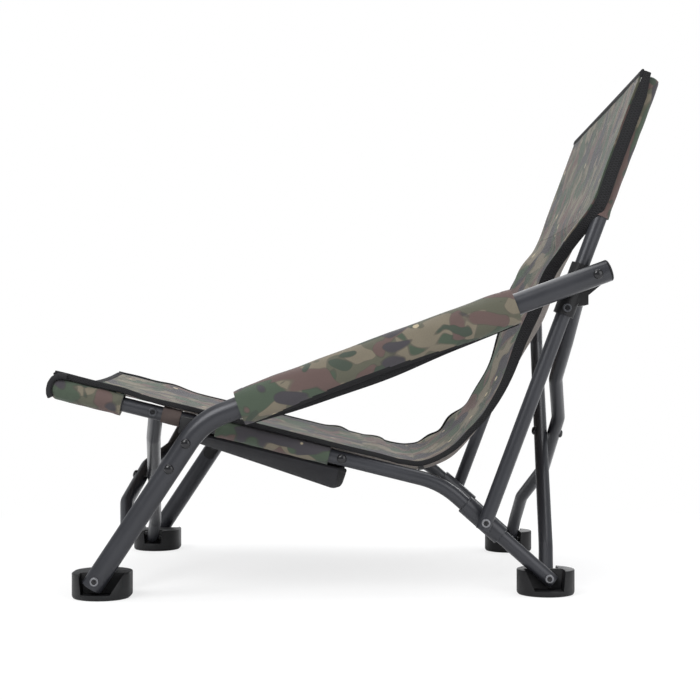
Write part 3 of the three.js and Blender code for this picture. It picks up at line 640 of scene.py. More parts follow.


# Bolts: a domed head, or a ring head with a hollow middle that is painted black as painted shade, and a
# hexagon nut where it has a face to sit on
def bolt_parts(label, spot, head_face, nut_face, way, ring=None, nut=2.0):
    outward = np.array([0, way, 0], float)
    head = place(spot, way * head_face)
    crown = RING_RIM + RING_HOLLOW if ring else DOMED_HEAD
    pieces = [turned(f"{label}_head", crown, head, outward, ring or BOLT, RING_SIDES)]
    if ring:
        # The hollow's faces take the black finish: painted shade down in the socket
        pieces[0].data.materials.append(BOLT)
        for polygon in pieces[0].data.polygons[-len(RING_HOLLOW) * RING_SIDES :]:
            polygon.material_index = 1
        pieces.append(turned(f"{label}_pin", RING_PIN, head, outward, BOLT, 16))
    if nut_face:
        tip = place(spot, way * nut_face)
        outline = [(0, 0), (NUT, 0), (NUT, nut - 0.4), (NUT - 0.6, nut), (0, nut)]
        pieces.append(turned(f"{label}_nut", outline, tip, -outward, ring or BOLT, 6))
    return pieces


def bolts_side(side, way):
    leg_face, rail_face, rail_inner = LEG_Y + LEG, RAIL_Y + TUBE, RAIL_Y - TUBE
    saddle_face, guide_face = LEG_Y - LEG - SADDLE, POLE_Y - WEB_INNER

    def fit(name, pieces, body, *nodes):
        dress(join(f"{name}_{side}", pieces), f"{body}_{side}", *[f"{side}_{node}" for node in nodes])

    domed = bolt_parts(f"arm_bolt_{side}", ARM_BOLT, leg_face, guide_face, way)
    for spot in SADDLE_BOLTS:
        domed += bolt_parts(f"saddle_bolt_{side}", spot, leg_face, saddle_face, way)
    fit("domed_bolts", domed, "leg_arm", "guide_bolt", "saddle_bolt_upper", "saddle_bolt_lower")
    rivet = bolt_parts("rail_rivet", RAIL_RIVET, rail_face, rail_inner, way)
    fit("rail_rivet_head", rivet, "seat_rail", "rail_rivet")
    rings = bolt_parts("front_brace_bolt", FRONT_BRACE_TOP, rail_face, rail_inner, way, DARK_RING, nut=1.4)
    rings += bolt_parts("pole_bolt", POLE_PIVOT, POLE_Y + TUBE, RAIL_Y - FERRULE, way, RING)
    rings += bolt_parts("rear_foot_bolt", REAR_FOOT, rail_face, None, way, RING)
    fit("ring_bolts", rings, "seat_rail", "front_brace_bolt", "pole_pivot_bolt", "rear_foot_bolt")
    rings = bolt_parts("front_foot_bolt", FRONT_FOOT, leg_face, None, way, RING)
    rings += bolt_parts("guide_screw", GUIDE_SCREW, POLE_Y + GUIDE, None, way, DARK_RING)
    fit("leg_ring_bolts", rings, "leg_arm", "front_foot_bolt", "guide_screw")


FOOT_OUTLINE = [(0, 0), (33, 0), (35.4, 0.6), (36.9, 2.1), (FOOT_RADIUS, 4.4), (FOOT_RADIUS, 31.6)]
FOOT_OUTLINE += [(37.2, 32.6), (36.4, FOOT_HEIGHT), (0, FOOT_HEIGHT)]
STUB = 3
STUB_IN_WALL = 1.5
POCKET_ROOM = 3.6
POCKET_FLARE = 2


# A mud foot: a moulded puck with two pockets and the stubs that hold the brace. The puck is drawn out
# across the chair by spread, and pocket says how far its tube pocket reaches ahead of the pivot and
# behind it, at its floor and then at its mouth.
def foot(side, way, where, pivot, brace_top, shift, offset, spread, tube_face, brace_y, pocket):
    label = f"{where}_foot_{side}"
    body = turned(label, FOOT_OUTLINE, place((pivot[0] + shift, 0), 0), place((0, 1), 0), NYLON, 96)
    for vertex in body.data.vertices:
        outward = 1 if vertex.co.y > 0.00001 else -1 if vertex.co.y < -0.00001 else 0
        vertex.co.y += outward * spread * MM + way * offset * MM
    reach = spread + FOOT_RADIUS + CUT_PAST
    mouth = FOOT_HEIGHT + CUT_PAST
    floor_ahead, floor_behind, ahead, behind = pocket
    tube_pocket = [(-floor_ahead, FOOT_FLOOR), (floor_behind, FOOT_FLOOR), (behind, mouth), (-ahead, mouth)]
    sweep = math.hypot(PAST_FOOT, TUBE) + 1
    half = TUBE + POCKET_ROOM
    low = pivot[1] - sweep
    top_half = half + POCKET_FLARE
    brace_pocket = [(-half, low), (half, low), (top_half, mouth), (-top_half, mouth)]
    spans = [(tube_face - TOUCH, offset + reach), (offset - reach, brace_y + sweep)]
    cutters = []
    for outline, (inner, outer) in zip((tube_pocket, brace_pocket), spans):
        outline = [at(pivot[0] + x, z) for x, z in outline]
        cutters.append(plate("pocket", outline, way * inner, way * outer))
    combine(body, cutters, "DIFFERENCE")
    ease(body, 0.7)
    up = unit(brace_top - pivot)
    aside = at(up[1], -up[0])
    stubs = []
    for sign in (-1, 1):
        ends = [pivot + aside * sign * distance for distance in (TUBE + TOUCH, half + STUB_IN_WALL)]
        stubs.append(rod("stub", *places(ends, way * brace_y), STUB, NYLON, 24))
    dress(join(label, [body] + stubs), f"foot_{where}_{side}", f"{side}_{where}_foot")


GUIDE = 13.4
GUIDE_LOW = 284
GUIDE_HIGH = 352
WEB_LOW = 298
WEB_HIGH = 349
WEB_RISE = 9
WEB_INNER = 5
LUG = 8
LUG_IN_WEB = 2
GUIDE_ROOM = 0.4


# The guide that the pole slides in, with a web up to the arm and a lug for the rear brace
def guide(side, way):
    def by_pole(distance, height=0.0):
        return beside(POLE_PIVOT, POLE_TOP, distance, height)

    ends = places_along(POLE_PIVOT, POLE_TOP, (GUIDE_LOW, GUIDE_HIGH), way * POLE_Y)
    by_arm = [ARM_BOLT + at(WEB_RISE, z) for z in (WEB_RISE, -WEB_RISE - 2)]
    web = [by_pole(WEB_HIGH), *by_arm, by_pole(WEB_LOW, -WEB_RISE), by_pole(WEB_LOW)]
    lug = [REAR_BRACE_TOP + at(LUG * x, LUG * z) for x, z in ((-1.6, -1.4), (1, -1), (1, 1), (-1, 1))]
    web_inner, web_outer = POLE_Y - WEB_INNER, LEG_Y - LEG - TOUCH
    body = rod(f"pole_guide_{side}", *ends, GUIDE, NYLON)
    extra = [
        plate("web", web, way * web_inner, way * web_outer),
        plate("lug", lug, way * (REAR_BRACE_Y + TUBE + GUIDE_ROOM), way * (web_inner + LUG_IN_WEB)),
    ]
    combine(body, extra, "UNION")
    cutters = [
        rod("bore", *places((POLE_PIVOT, POLE_TOP), way * POLE_Y), TUBE + GUIDE_ROOM, NYLON),
        rod("arm", *places((ARM_CORNER, ARM_END), way * LEG_Y), LEG + TOUCH, NYLON),
    ]
    combine(body, cutters, "DIFFERENCE")
    dress(ease(body, 0.8), f"leg_arm_{side}", f"{side}_pole_guide")


SADDLE = 5
SADDLE_DISTANCE = 54
HOOK_Y = RAIL_Y - 2
HOOK_HALF = 14
HOOK_RISE = 5
HOOK_DEPTH = 7
BED_REACH = 30
SADDLE_PLATE = [(8, 10), (88, 10), (94, 5), (94, -5), (88, -10), (8, -10)]


# The saddle that the rail rests in: a plate on the leg with a hook under the rail
def saddle(side, way):
    def by_rail(run, rise):
        return beside(FRONT_BRACE_TOP, RAIL_CORNER, SADDLE_DISTANCE + run, rise)

    back = LEG_Y - LEG - TOUCH
    bed = TUBE + TOUCH
    platform = [beside(ARM_CORNER, FRONT_FOOT, *spot) for spot in SADDLE_PLATE]
    half, low, past, high = HOOK_HALF, -bed - HOOK_DEPTH, HOOK_HALF + CUT_PAST, bed + CUT_PAST
    hook = [by_rail(*spot) for spot in ((-half, HOOK_RISE), (-half, low), (half, low), (half, HOOK_RISE))]
    way_in = [by_rail(*spot) for spot in ((-past, 0), (past, 0), (past, high), (-past, high))]
    body = plate(f"rail_saddle_{side}", platform, way * (back - SADDLE), way * back)
    combine(body, [plate("hook", hook, way * HOOK_Y, way * (back - 0.15))], "UNION")
    cutters = [
        rod("bed", *places((by_rail(-BED_REACH, 0), by_rail(BED_REACH, 0)), way * RAIL_Y), bed, NYLON),
        plate("way_in", way_in, way * (RAIL_Y - bed), way * (RAIL_Y + bed)),
    ]
    combine(body, cutters, "DIFFERENCE")
    dress(ease(body, 0.7), f"leg_arm_{side}", f"{side}_rail_saddle")


BRACE_PLUG = [(0, -10), (8.2, -10), (8.2, 0.3), (9.2, 0.3), (8.8, 1.2), (7, 2.9), (4, 4.1), (0, 4.5)]
BRACE_LOW_BEND = 48
BRACE_HIGH_BEND = 0.87
CRANK_SHARES = (0.14, 0.32, 0.62, 0.82)
FRONT_BRACE = ("front", FRONT_FOOT, FRONT_BRACE_TOP, FRONT_BRACE_Y, 37, 0.83)
REAR_BRACE = ("rear", REAR_FOOT, REAR_BRACE_TOP, REAR_BRACE_Y, 47, 0.85)


# A brace: bent in its plane, and cranked aside where it crosses its partner. rivet is the side that the
# rivet's long end is on, or 0 on the brace that doesn't carry it.
def brace_piece(where, low, high, offset, low_degrees, high_share, start_side, crank, body, rivet):
    up = unit(high - low)
    rise = float(np.linalg.norm(high - low))
    aside = at(up[1], -up[0])
    span = 2 * offset
    mirror = -1 if start_side == "right" else 1

    def spot(run, height, shift=0):
        return place(low + up * height + aside * shift, mirror * (run - offset))

    angle = math.radians(low_degrees)
    slope = np.array([math.cos(angle), math.sin(angle)])
    low_bend, high_bend = BRACE_LOW_BEND * slope, np.array([span * BRACE_HIGH_BEND, rise * high_share])
    corners = [spot(*(-PAST_FOOT * slope)), spot(*low_bend)]
    if crank:
        for share, shift in zip(CRANK_SHARES, (0, crank, crank, 0)):
            corners.append(spot(*(low_bend + (high_bend - low_bend) * share), shift))
    corners += [spot(*high_bend), spot(span, rise)]
    label = f"{where}_brace_{start_side}"
    piece = tube(label, corners, [BRACE_BEND] * (len(corners) - 2), TUBE, TUBE_WALL, PAINT)
    dress(piece, body, f"{where}_brace_from_{start_side}_foot")
    dress(turned(f"{label}_plug", BRACE_PLUG, corners[-1], corners[-1] - corners[-2], NYLON), body)
    if rivet:
        centre = place((low + high) / 2, 0)
        outward = place(aside, 0) * rivet
        heads = ((centre + outward * (TUBE + CRANK), outward), (centre - outward * TUBE, -outward))
        pins = [turned("pin", RIVET_HEAD, *head, BOLT) for head in heads]
        dress(join(f"{where}_brace_rivet_heads", pins), body, f"{where}_brace_rivet")


# A smooth curve through rows of numbers, at a share of its run
def catmull(rows, share):
    rows = np.asarray(rows, float)
    last = len(rows) - 1
    where = min(max(share * last, 0), last - 1e-9)
    i = int(where)
    p = [rows[max(i - 1, 0)], rows[i], rows[i + 1], rows[min(i + 2, last)]]
    if i == 0:
        p[0] = 2 * p[1] - p[2]
    if i + 1 == last:
        p[3] = 2 * p[2] - p[1]
    knots = [0.0]
    for a, b in zip(p, p[1:]):
        knots.append(knots[-1] + max(np.linalg.norm(b - a), 1e-6) ** 0.5)
    t = knots[1] + (knots[2] - knots[1]) * (where - i)

    def blend(a, b, t0, t1):
        return a * ((t1 - t) / (t1 - t0)) + b * ((t - t0) / (t1 - t0))

    a1, a2, a3 = [blend(p[k], p[k + 1], knots[k], knots[k + 1]) for k in range(3)]
    b1, b2 = blend(a1, a2, knots[0], knots[2]), blend(a2, a3, knots[1], knots[3])
    return blend(b1, b2, knots[1], knots[2])


# The sling's rows, as shares of the sizes here. Over the seat: the distance along the rail, the sag and
# half the width. Where it hangs free: the places of its edge and its middle, and half the width. On the
# back: the distance down the pole, the sag, the arch and half the width.
SEAT_LENGTH = 450
SEAT_SAG = 14
SEAT_HALF = RAIL_Y + 9
BACK_LENGTH = 172
BACK_SAG = 10
BACK_ARCH = 9
BACK_HALF = POLE_Y + 13
LAY = TOUCH * 2 + 2.5
WAIST_FOOT = beside(RAIL_TIP, RAIL_CORNER, 452.6, 14.6)
WAIST_TOP = beside(POLE_TOP, POLE_PIVOT, 219.5, -27.3)
POCKET_ROW_SHARES = [(-0.018, 0.95, 1), (0.09, 1.05, 1), (0.187, 1.05, 1)]
SEAT_ROW_SHARES = [
    (0.262, 0.93, 1),
    (0.422, 1, 1),
    (0.6, 1, 1),
    (0.778, 1, 1),
    (0.853, 1.07, 0.992),
    (0.955, 1.2, 0.977),
]
WAIST_ROW_SHARES = [
    (0, 0, 0.009, -0.062, 0.966),
    (0.116, -0.009, 0.158, -0.073, 0.954),
    (0.242, 0.021, 0.33, -0.021, 0.923),
    (0.363, 0.083, 0.465, 0.066, 0.87),
    (0.479, 0.17, 0.577, 0.166, 0.785),
    (0.595, 0.273, 0.693, 0.287, 0.697),
    (0.707, 0.457, 0.823, 0.467, 0.636),
    (0.805, 0.661, 0.977, 0.668, 0.705),
    (0.902, 0.872, 1.088, 0.882, 0.851),
    (1, 1, 1.172, 1.035, 0.966),
]
BACK_ROW_SHARES = [(1, 0.8, 0, 0.987), (0.7, 1, 0, 1), (0.35, 0.9, 0, 1), (-0.05, 0.4, 1, 1)]


def sling_rows():
    rows = []
    for shares, radius in ((POCKET_ROW_SHARES, POCKET), (SEAT_ROW_SHARES, SLEEVE)):
        for distance, sag, half in shares:
            run, height = SEAT_LENGTH * distance, radius + LAY
            edge = beside(RAIL_TIP, RAIL_CORNER, run, height)
            middle = beside(RAIL_TIP, RAIL_CORNER, run, height - SEAT_SAG * sag)
            rows.append((edge, middle, SEAT_HALF * half))
    span = WAIST_TOP - WAIST_FOOT
    for edge_x, edge_z, middle_x, middle_z, half in WAIST_ROW_SHARES:
        edge, middle = WAIST_FOOT + span * (edge_x, edge_z), WAIST_FOOT + span * (middle_x, middle_z)
        rows.append((edge, middle, SEAT_HALF * half))
    height = -SLEEVE - LAY - TOUCH * 2
    for distance, sag, arch, half in BACK_ROW_SHARES:
        run = BACK_LENGTH * distance
        edge = beside(POLE_TOP, POLE_PIVOT, run, height)
        middle = beside(POLE_TOP, POLE_PIVOT, run - BACK_ARCH * arch, height + BACK_SAG * sag)
        rows.append((edge, middle, BACK_HALF * half))
    return rows


ROWS = sling_rows()
SEAM_ROW = len(POCKET_ROW_SHARES) + len(SEAT_ROW_SHARES) + 1
BACK_SEAM_ROW = SEAM_ROW + len(WAIST_ROW_SHARES) - 1
TOP_ROW = len(ROWS) - 1
PANEL_COLUMNS = 90
EDGE_CROWDING = 0.9
FLAT_EDGE = 0.94


# The sling's edge, middle and half width at a row; the half width is set against even steps
def sling_line(row):
    share = row / TOP_ROW
    edge = catmull([r[0] for r in ROWS], share)
    middle = catmull([r[1] for r in ROWS], share)
    half = catmull([(i * SEAT_LENGTH, r[2]) for i, r in enumerate(ROWS)], share)[1]
    return edge, middle, half


def sling_grid(first, last, rows, columns, margin=SEAM_GAP):
    crowd = math.pi / 2 * EDGE_CROWDING
    across = np.sin(np.linspace(-1, 1, columns) * crowd) / math.sin(crowd)
    hang = np.clip(1 - (across / FLAT_EDGE) ** 2, 0, None)[:, None]
    points = np.empty((rows, columns, 3))
    for i in range(rows):
        edge, middle, half = sling_line(first + margin + (last - first - 2 * margin) * i / (rows - 1))
        points[i, :, ::2] = edge * (1 - hang) + middle * hang
        points[i, :, 1] = across * half
    return points


# A grid of points from a function of two shares, down the rows and across them
def grid_of(rows, columns, spot):
    across = [j / (columns - 1) for j in range(columns)]
    return np.array([[spot(i / (rows - 1), v) for v in across] for i in range(rows)])


def grid_normals(points):
    normals = np.cross(np.gradient(points, axis=0), np.gradient(points, axis=1))
    return normals / np.linalg.norm(normals, axis=2, keepdims=True)


# The flat place of each grid point, in metres, measured along the cloth from its middle
def flat_places(points):
    steps = np.linalg.norm(np.diff(points, axis=0), axis=2).mean(axis=1)
    across = np.linalg.norm(np.diff(points, axis=1), axis=2)
    widths = np.concatenate([np.zeros((len(points), 1)), np.cumsum(across, axis=1)], axis=1)
    flat = np.zeros(points.shape)
    flat[:, :, 0] = np.concatenate([[0], np.cumsum(steps)])[:, None]
    flat[:, :, 1] = widths - widths[:, -1:] / 2
    return flat * MM


# A stretched sheet's cut is as long as its middle line, which this measures.
def stretched(piece, points, rests_on, with_pieces):
    middle = points[:, points.shape[1] // 2]
    length = float(np.linalg.norm(np.diff(middle, axis=0), axis=1).sum()) * MM
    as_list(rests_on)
    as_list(with_pieces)


# A closed sheet from a grid of its middle surface
def cloth_sheet(name, points, thickness, material, reverse=None, print_start=(0, 0, 0)):
    rows, columns = points.shape[:2]
    normals = grid_normals(points)
    sheets = [points + normals * thickness / 2, points - normals * thickness / 2]
    flat = (flat_places(points) + np.array(print_start)).reshape(-1, 3)
    base = rows * columns
    faces = grid_faces(rows, columns, False) + grid_faces(rows, columns, False, base, True)
    top_count = (rows - 1) * (columns - 1)
    index = np.arange(base).reshape(rows, columns)
    loop = [*index[0], *index[1:, -1], *index[-1, -2::-1], *index[-2:0:-1, 0]]
    faces += [(a, a + base, b + base, b) for a, b in zip(loop, loop[1:] + loop[:1])]
    vertices = np.vstack([sheet.reshape(-1, 3) for sheet in sheets])
    piece = make(name, vertices, faces, material, np.vstack([flat, flat]), 50)
    if reverse is not None:
        piece.data.materials.append(reverse)
        for polygon in piece.data.polygons[top_count : 2 * top_count]:
            polygon.material_index = 1
    return piece


# A rounded value: a power below 1 squares the curve off
def squared(value, power):
    return math.copysign(abs(value) ** power, value)


# Bindings along their run: how deep, how far behind the cloth and how far outside its edge
SEAT_EDGING = ((9, 7, 6.5, 6.5, 7), (0,), (-1,))
WAIST_EDGING = (
    (7, 7, 8, 9, 12, 16, 17, 15, 16),
    (0, 0, 0, 1, 2.5, 4, 5, 7, 8.5),
    (-1, -1, -1, -1, -1, -1, 0, 1, 1.6),
)
BACK_EDGING = ((16,) * 6 + (15.5, 9), (8.5,) * 7 + (6.5,), (1.6,))
END_EDGING = ((END_BINDING_THICKNESS,), (0,), (3 - END_BINDING / 2,))
SIDE_POWER = 0.6


# A folded binding along one border of a grid: inward points back over the cloth
def binding(name, line, inward, normals, width, edging, power):
    count, sides = len(line), 16
    run = np.linspace(0, 1, count)
    depths, leans, outs = [np.interp(run, np.linspace(0, 1, len(values)), values) for values in edging]
    line = line.copy()
    line[0] += unit(line[0] - line[1]) * BINDING_OVERRUN
    line[-1] += unit(line[-1] - line[-2]) * BINDING_OVERRUN
    lengths = np.concatenate([[0], np.cumsum(np.linalg.norm(np.diff(line, axis=0), axis=1))])
    vertices, coords = [], []
    for i in range(count):
        for k in range(sides):
            angle = 2 * math.pi * k / sides
            across = squared(math.cos(angle), power) * width / 2 - outs[i]
            through = squared(math.sin(angle), power) * depths[i] / 2 - leans[i]
            vertices.append(line[i] + inward[i] * across + normals[i] * through)
            coords.append((lengths[i] * MM, k * BINDING_STEP * MM, 0))
    faces = grid_faces(count, sides, True)
    faces.append(tuple(range(sides - 1, -1, -1)))
    faces.append(tuple(range((count - 1) * sides, count * sides)))
    return make(name, vertices, faces, BINDING, coords, 60)


def border_bindings(name, points, borders, edging=None):
    normals = grid_normals(points)
    pieces = []
    for border in borders:
        line, inner, normal = {
            "left": (points[:, 0], points[:, 1], normals[:, 0]),
            "right": (points[:, -1], points[:, -2], normals[:, -1]),
            "front": (points[0], points[1], normals[0]),
            "back": (points[-1], points[-2], normals[-1]),
        }[border]
        inward = inner - line
        inward /= np.linalg.norm(inward, axis=1, keepdims=True)
        form = (END_BINDING, END_EDGING, 1)
        if border in ("left", "right"):
            form = (SIDE_BINDING, edging, SIDE_POWER)
        pieces.append(binding(f"{name}_{border}_binding", line, inward, normal, *form))
    return pieces


# Soft ripples of stretched cloth, square to its surface, and a flutter of its edges that is cut off below
# floor. Both fade out before the seams.
def ripple(points, amount, flutter, floor, seed):
    rows, columns = points.shape[:2]
    u = np.linspace(0, 1, rows)[:, None]
    v = np.linspace(-1, 1, columns)[None, :]
    wave = np.sin(5 * math.pi * u + seed + 1.3 * np.sin(3 * v + seed))
    wave = wave * np.cos(3 * math.pi * v + seed * 1.7)
    wave += 0.5 * np.sin((5 * 2.3) * u + (3 * 2.1) * v + seed * 2.1)
    hold = np.clip((1 - np.abs(v)) * 5, 0, 1) * np.clip(u * 8, 0, 1) * np.clip((1 - u) * 8, 0, 1)
    edge = np.abs(v) ** 3 * np.clip(u * 6, 0, 1) * np.clip((1 - u) * 6, 0, 1) * np.where(v > 0, 1, 0.3)
    waves = np.sin(23 * u + 2 * v + seed) * np.sin(11 * u - 3 * v + 2 * seed) + 0.4 * np.sin(41 * u + seed)
    lift = wave * hold * amount + np.maximum(waves, floor) * edge * flutter
    return points + grid_normals(points) * lift[:, :, None]


SEAT_FOLD = (-RAIL_Y, 0.296)
BACK_FOLD = (-POLE_Y, 0.354)


# A cloth moves with one body, on a mesh of its own
def fold_with(piece, body, fold, *nodes):
    dress(piece, body, *nodes)
    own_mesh(piece)


# The back's covers ride a pole, each on a mesh of its own
def slide_with(piece, side, *nodes):
    dress(piece, f"back_pole_{side}", *nodes)
    way = -1 if side == "left" else 1
    down = unit(place(POLE_PIVOT - POLE_TOP, 0))
    anchor = (place(along(POLE_TOP, POLE_PIVOT, -COVER_PAST_END), way * POLE_Y) + (SHIFT, 0, 0)) * MM
    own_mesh(piece)


# One sheet of the sling with its bindings: wrinkles are the ripples' amount, flutter, floor and seed
def panel(name, first, last, rows, body, fold, borders, edging, wrinkles, print_start):
    points = ripple(sling_grid(first, last, rows, PANEL_COLUMNS), *wrinkles)
    piece = cloth_sheet(f"{name}_cloth", points, CLOTH, CAMO, CAMO_BACK, print_start)
    bindings = border_bindings(name, points, borders, edging)
    fold_with(piece, body, fold, f"{name}_panel")
    for edge, border in zip(bindings, borders):
        if name == "back" and border in ("left", "right"):
            slide_with(edge, border)
        else:
            fold_with(edge, body, fold)
    return piece, bindings, points


# A tape sewn under the seam between two sheets
def seam_tape(name, row, body, fold):
    points = sling_grid(row - TAPE_REACH, row + TAPE_REACH, 5, 60, 0)
    points = points - grid_normals(points) * (CLOTH / 2 + TAPE_BELOW)
    points[:, :, 1] *= TAPE_SHARE
    tape = cloth_sheet(name, points, TAPE, BINDING)
    fold_with(tape, body, fold)
    return tape


BAND_START = 42
BAND_LENGTH = 216
BAND_HALF = RAIL_Y - 3
BAND_SAG = 22
BAND_MORE_SAG = 20
BAND_LIP = 0.06
BAND_LIP_RISE = 11


# The middle surface of the band under the seat, which sags and turns up at its rear edge
def band_spot(u, v):
    turn = min(1, max(0, (u - 1 + BAND_LIP) / BAND_LIP))
    sag = BAND_SAG + BAND_MORE_SAG * u - BAND_LIP_RISE * (1 - math.sqrt(1 - turn**2))
    across = 2 * v - 1
    below = -(SLEEVE + TOUCH + 2) - sag * max(0, 1 - across**2) ** 0.7
    side = beside(FRONT_BRACE_TOP, RAIL_CORNER, BAND_START + BAND_LENGTH * u, below)
    return place(side, across * BAND_HALF)


# A cloth sleeve or pocket on a tube, with gathers and a hem at its mouth
def sleeve(name, start, end, radius, closed, material, seed, hem=7):
    length = float(np.linalg.norm(end - start))
    sides = 48
    bore = TUBE + TOUCH
    steps = max(10, int(length / 5))
    nose = radius * 0.7
    outline = [(bore, 0)]
    for i in range(steps + 1):
        height = length * i / steps
        if closed and height > length - nose:
            break
        outline.append((radius + (0.5 if height < hem else 0), height))
    if closed:
        for share in np.linspace(0.15, 1, 8)[:-1]:
            angle = share * math.pi / 2
            outline.append((radius * math.cos(angle) ** 0.8, length - nose * (1 - math.sin(angle))))
        outline += [(0, length), (0, length - 3), (bore, length - 3)]
    else:
        outline.append((bore, length))

    def gathers(size, height, angle):
        if size <= bore + 0.5:
            return 0
        return 0.35 * math.sin(3 * angle + height / 13 + seed) * math.sin(height / 9 + 2 * angle + seed)

    vertices, rings = turned_rings(outline, start, unit(end - start), sides, gathers)
    coords = []
    for (size, height), ring in zip(outline, rings):
        for j in range(len(ring)):
            turn = 2 * math.pi * j / sides
            coords.append((height * MM + seed, turn * radius * MM, 0) if size else (height * MM, 0, seed))
    return make(name, vertices, ring_faces(rings + rings[:1]), material, coords, 50)


# A share that grows from the padded sleeve's ends towards its middle, by which its underside rises, its black
# reaches higher and the strip below it hangs lower
def pad_bow(s):
    return max(0.0, math.sin(math.pi * min(s / 0.92, 1) ** 0.92)) ** 1.4


# How far the padded sleeve stands from the arm's axis, upwards and across: fuller above the tube
def pad_section(s, angle, way):
    height = PAD_LENGTH * s
    from_end = min(height, PAD_LENGTH - height)
    raised = 0.5 if from_end < PAD_HEM else -0.7 if from_end < PAD_GROOVE_END else 0
    c, d = math.cos(angle), math.sin(angle)
    wrinkle = 0.5 * math.sin(height / 17 + 2.2 * angle + way) * math.sin(3 * angle + height / 41)
    wrinkle += 0.35 * math.sin(height / 7.5 + 1.1 * math.sin(angle * 2)) * max(0, abs(2 * s - 1) - 0.35)
    swell = 1 - 0.1 * abs(2 * s - 1) ** 10 + (raised + wrinkle) / 22
    rise = PAD_ABOVE if c > 0 else PAD_BELOW - 1.5 * pad_bow(s)
    return squared(c, 0.92) * rise * swell, squared(d, 0.92) * PAD_HALF_WIDTH * swell


# The padded sleeve on the armrest, black below a line that rises towards its middle, with a black strip
# hanging below it
def arm_pad(side, way):
    run = unit(place(ARM_END - ARM_CORNER, 0))
    across = np.array([0, 1, 0], float)
    up = unit(np.cross(run, across))
    origin = place(along(ARM_CORNER, ARM_END, PAD_START), way * LEG_Y)
    rows, sides = 111, 72
    outer, inner, outer_cloth, inner_cloth = [], [], [], []
    for i in range(rows):
        s = i / (rows - 1)
        centre = origin + run * PAD_LENGTH * s
        for j in range(sides):
            angle = 2 * math.pi * j / sides
            high, wide = pad_section(s, angle, way)
            bore = (up * math.cos(angle) + across * math.sin(angle)) * (LEG + TOUCH)
            outer.append(centre + up * high + across * wide)
            inner.append(centre + bore)
            outer_cloth.append((PAD_LENGTH * s * MM + 0.4, angle * PAD_PRINT_RADIUS * MM + way, 0))
            inner_cloth.append((PAD_LENGTH * s * MM, angle * LEG * MM, 0))
    base = rows * sides
    faces = grid_faces(rows, sides, True, 0, True) + grid_faces(rows, sides, True, base)
    faces += rim_faces(rows, sides, base, True)
    vertices = outer + inner
    pad = make(f"arm_pad_{side}", vertices, faces, CAMO, outer_cloth + inner_cloth, 50)
    pad.data.materials.append(BINDING)
    middles = np.array([np.mean([vertices[v] for v in face], axis=0) for face in faces]) - origin
    bows = [pad_bow(share) for share in np.clip(middles @ run / PAD_LENGTH, 0, 1)]
    below = middles @ up < -PAD_UNDERSIDE + PAD_UNDERSIDE_RISE * np.array(bows)
    pad.data.polygons.foreach_set("material_index", [int(value) for value in below])
    dress(pad, f"leg_arm_{side}", f"{side}_arm_pad")

    def flap_spot(s, share):
        low = PAD_BELOW + FLAP_BELOW * pad_bow(s) + 0.5 * math.sin(17 * s + way)
        depth = FLAP_TOP + (low - FLAP_TOP) * share
        return origin + run * PAD_LENGTH * (FLAP_MARGIN + (1 - 2 * FLAP_MARGIN) * s) - up * depth

    flap = cloth_sheet(f"arm_pad_flap_{side}", grid_of(80, 7, flap_spot), FLAP, BINDING)
    dress(flap, f"leg_arm_{side}")


PIPING = 4
PIPING_Y = RAIL_Y + 11
PIPING_BEND = 6
SEAT_TUNNEL = (84, 234)
STRAP_TAB = (12, 36)
NOSE_PATH = [(-6.5, -13), (-9.6, -9), (-11.2, -3), (-11.2, 4), (-8.8, 11), (-3, 16.3), (8, 17.7)]


# The sleeves and pockets that hold the sling on one side's rail and pole
def cloth_side(side, way):
    def on_rail(name, from_start, distances, node, *form):
        ends = places_along(from_start, RAIL_CORNER, distances, way * RAIL_Y)
        piece = sleeve(f"{name}_{side}", *ends, *form)
        dress(piece, f"seat_rail_{side}", f"{side}_{node}")
        return piece

    seed = 2.0 + way
    distances = (POCKET_LENGTH, -COVER_PAST_END - 2)
    pocket = on_rail("seat_pocket", RAIL_TIP, distances, "seat_front_pocket", POCKET, True, CAMO, seed)
    corners = places([beside(RAIL_TIP, RAIL_CORNER, *spot) for spot in NOSE_PATH], way * PIPING_Y)
    bends = [PIPING_BEND] * (len(corners) - 2)
    hoop = tube(f"pocket_piping_{side}", corners, bends, PIPING, PIPING - 0.1, BINDING, 20)
    dress(hoop, f"seat_rail_{side}")
    on_rail("seat_tunnel", FRONT_BRACE_TOP, SEAT_TUNNEL, "seat_sleeve", SLEEVE, False, CAMO, seed + 3)
    on_rail("strap_tab", FRONT_BRACE_TOP, STRAP_TAB, "seat_strap", SLEEVE - 1, False, STRAP, seed, 2)
    ends = places_along(POLE_TOP, POLE_PIVOT, (BACK_TUNNEL_LENGTH, -COVER_PAST_END), way * POLE_Y)
    tunnel = sleeve(f"back_tunnel_{side}", *ends, SLEEVE - 1, True, CAMO, seed + 5)
    slide_with(tunnel, side, f"{side}_back_sleeve")
    return pocket, tunnel


RAILS = ["rail_left", "rail_right"]


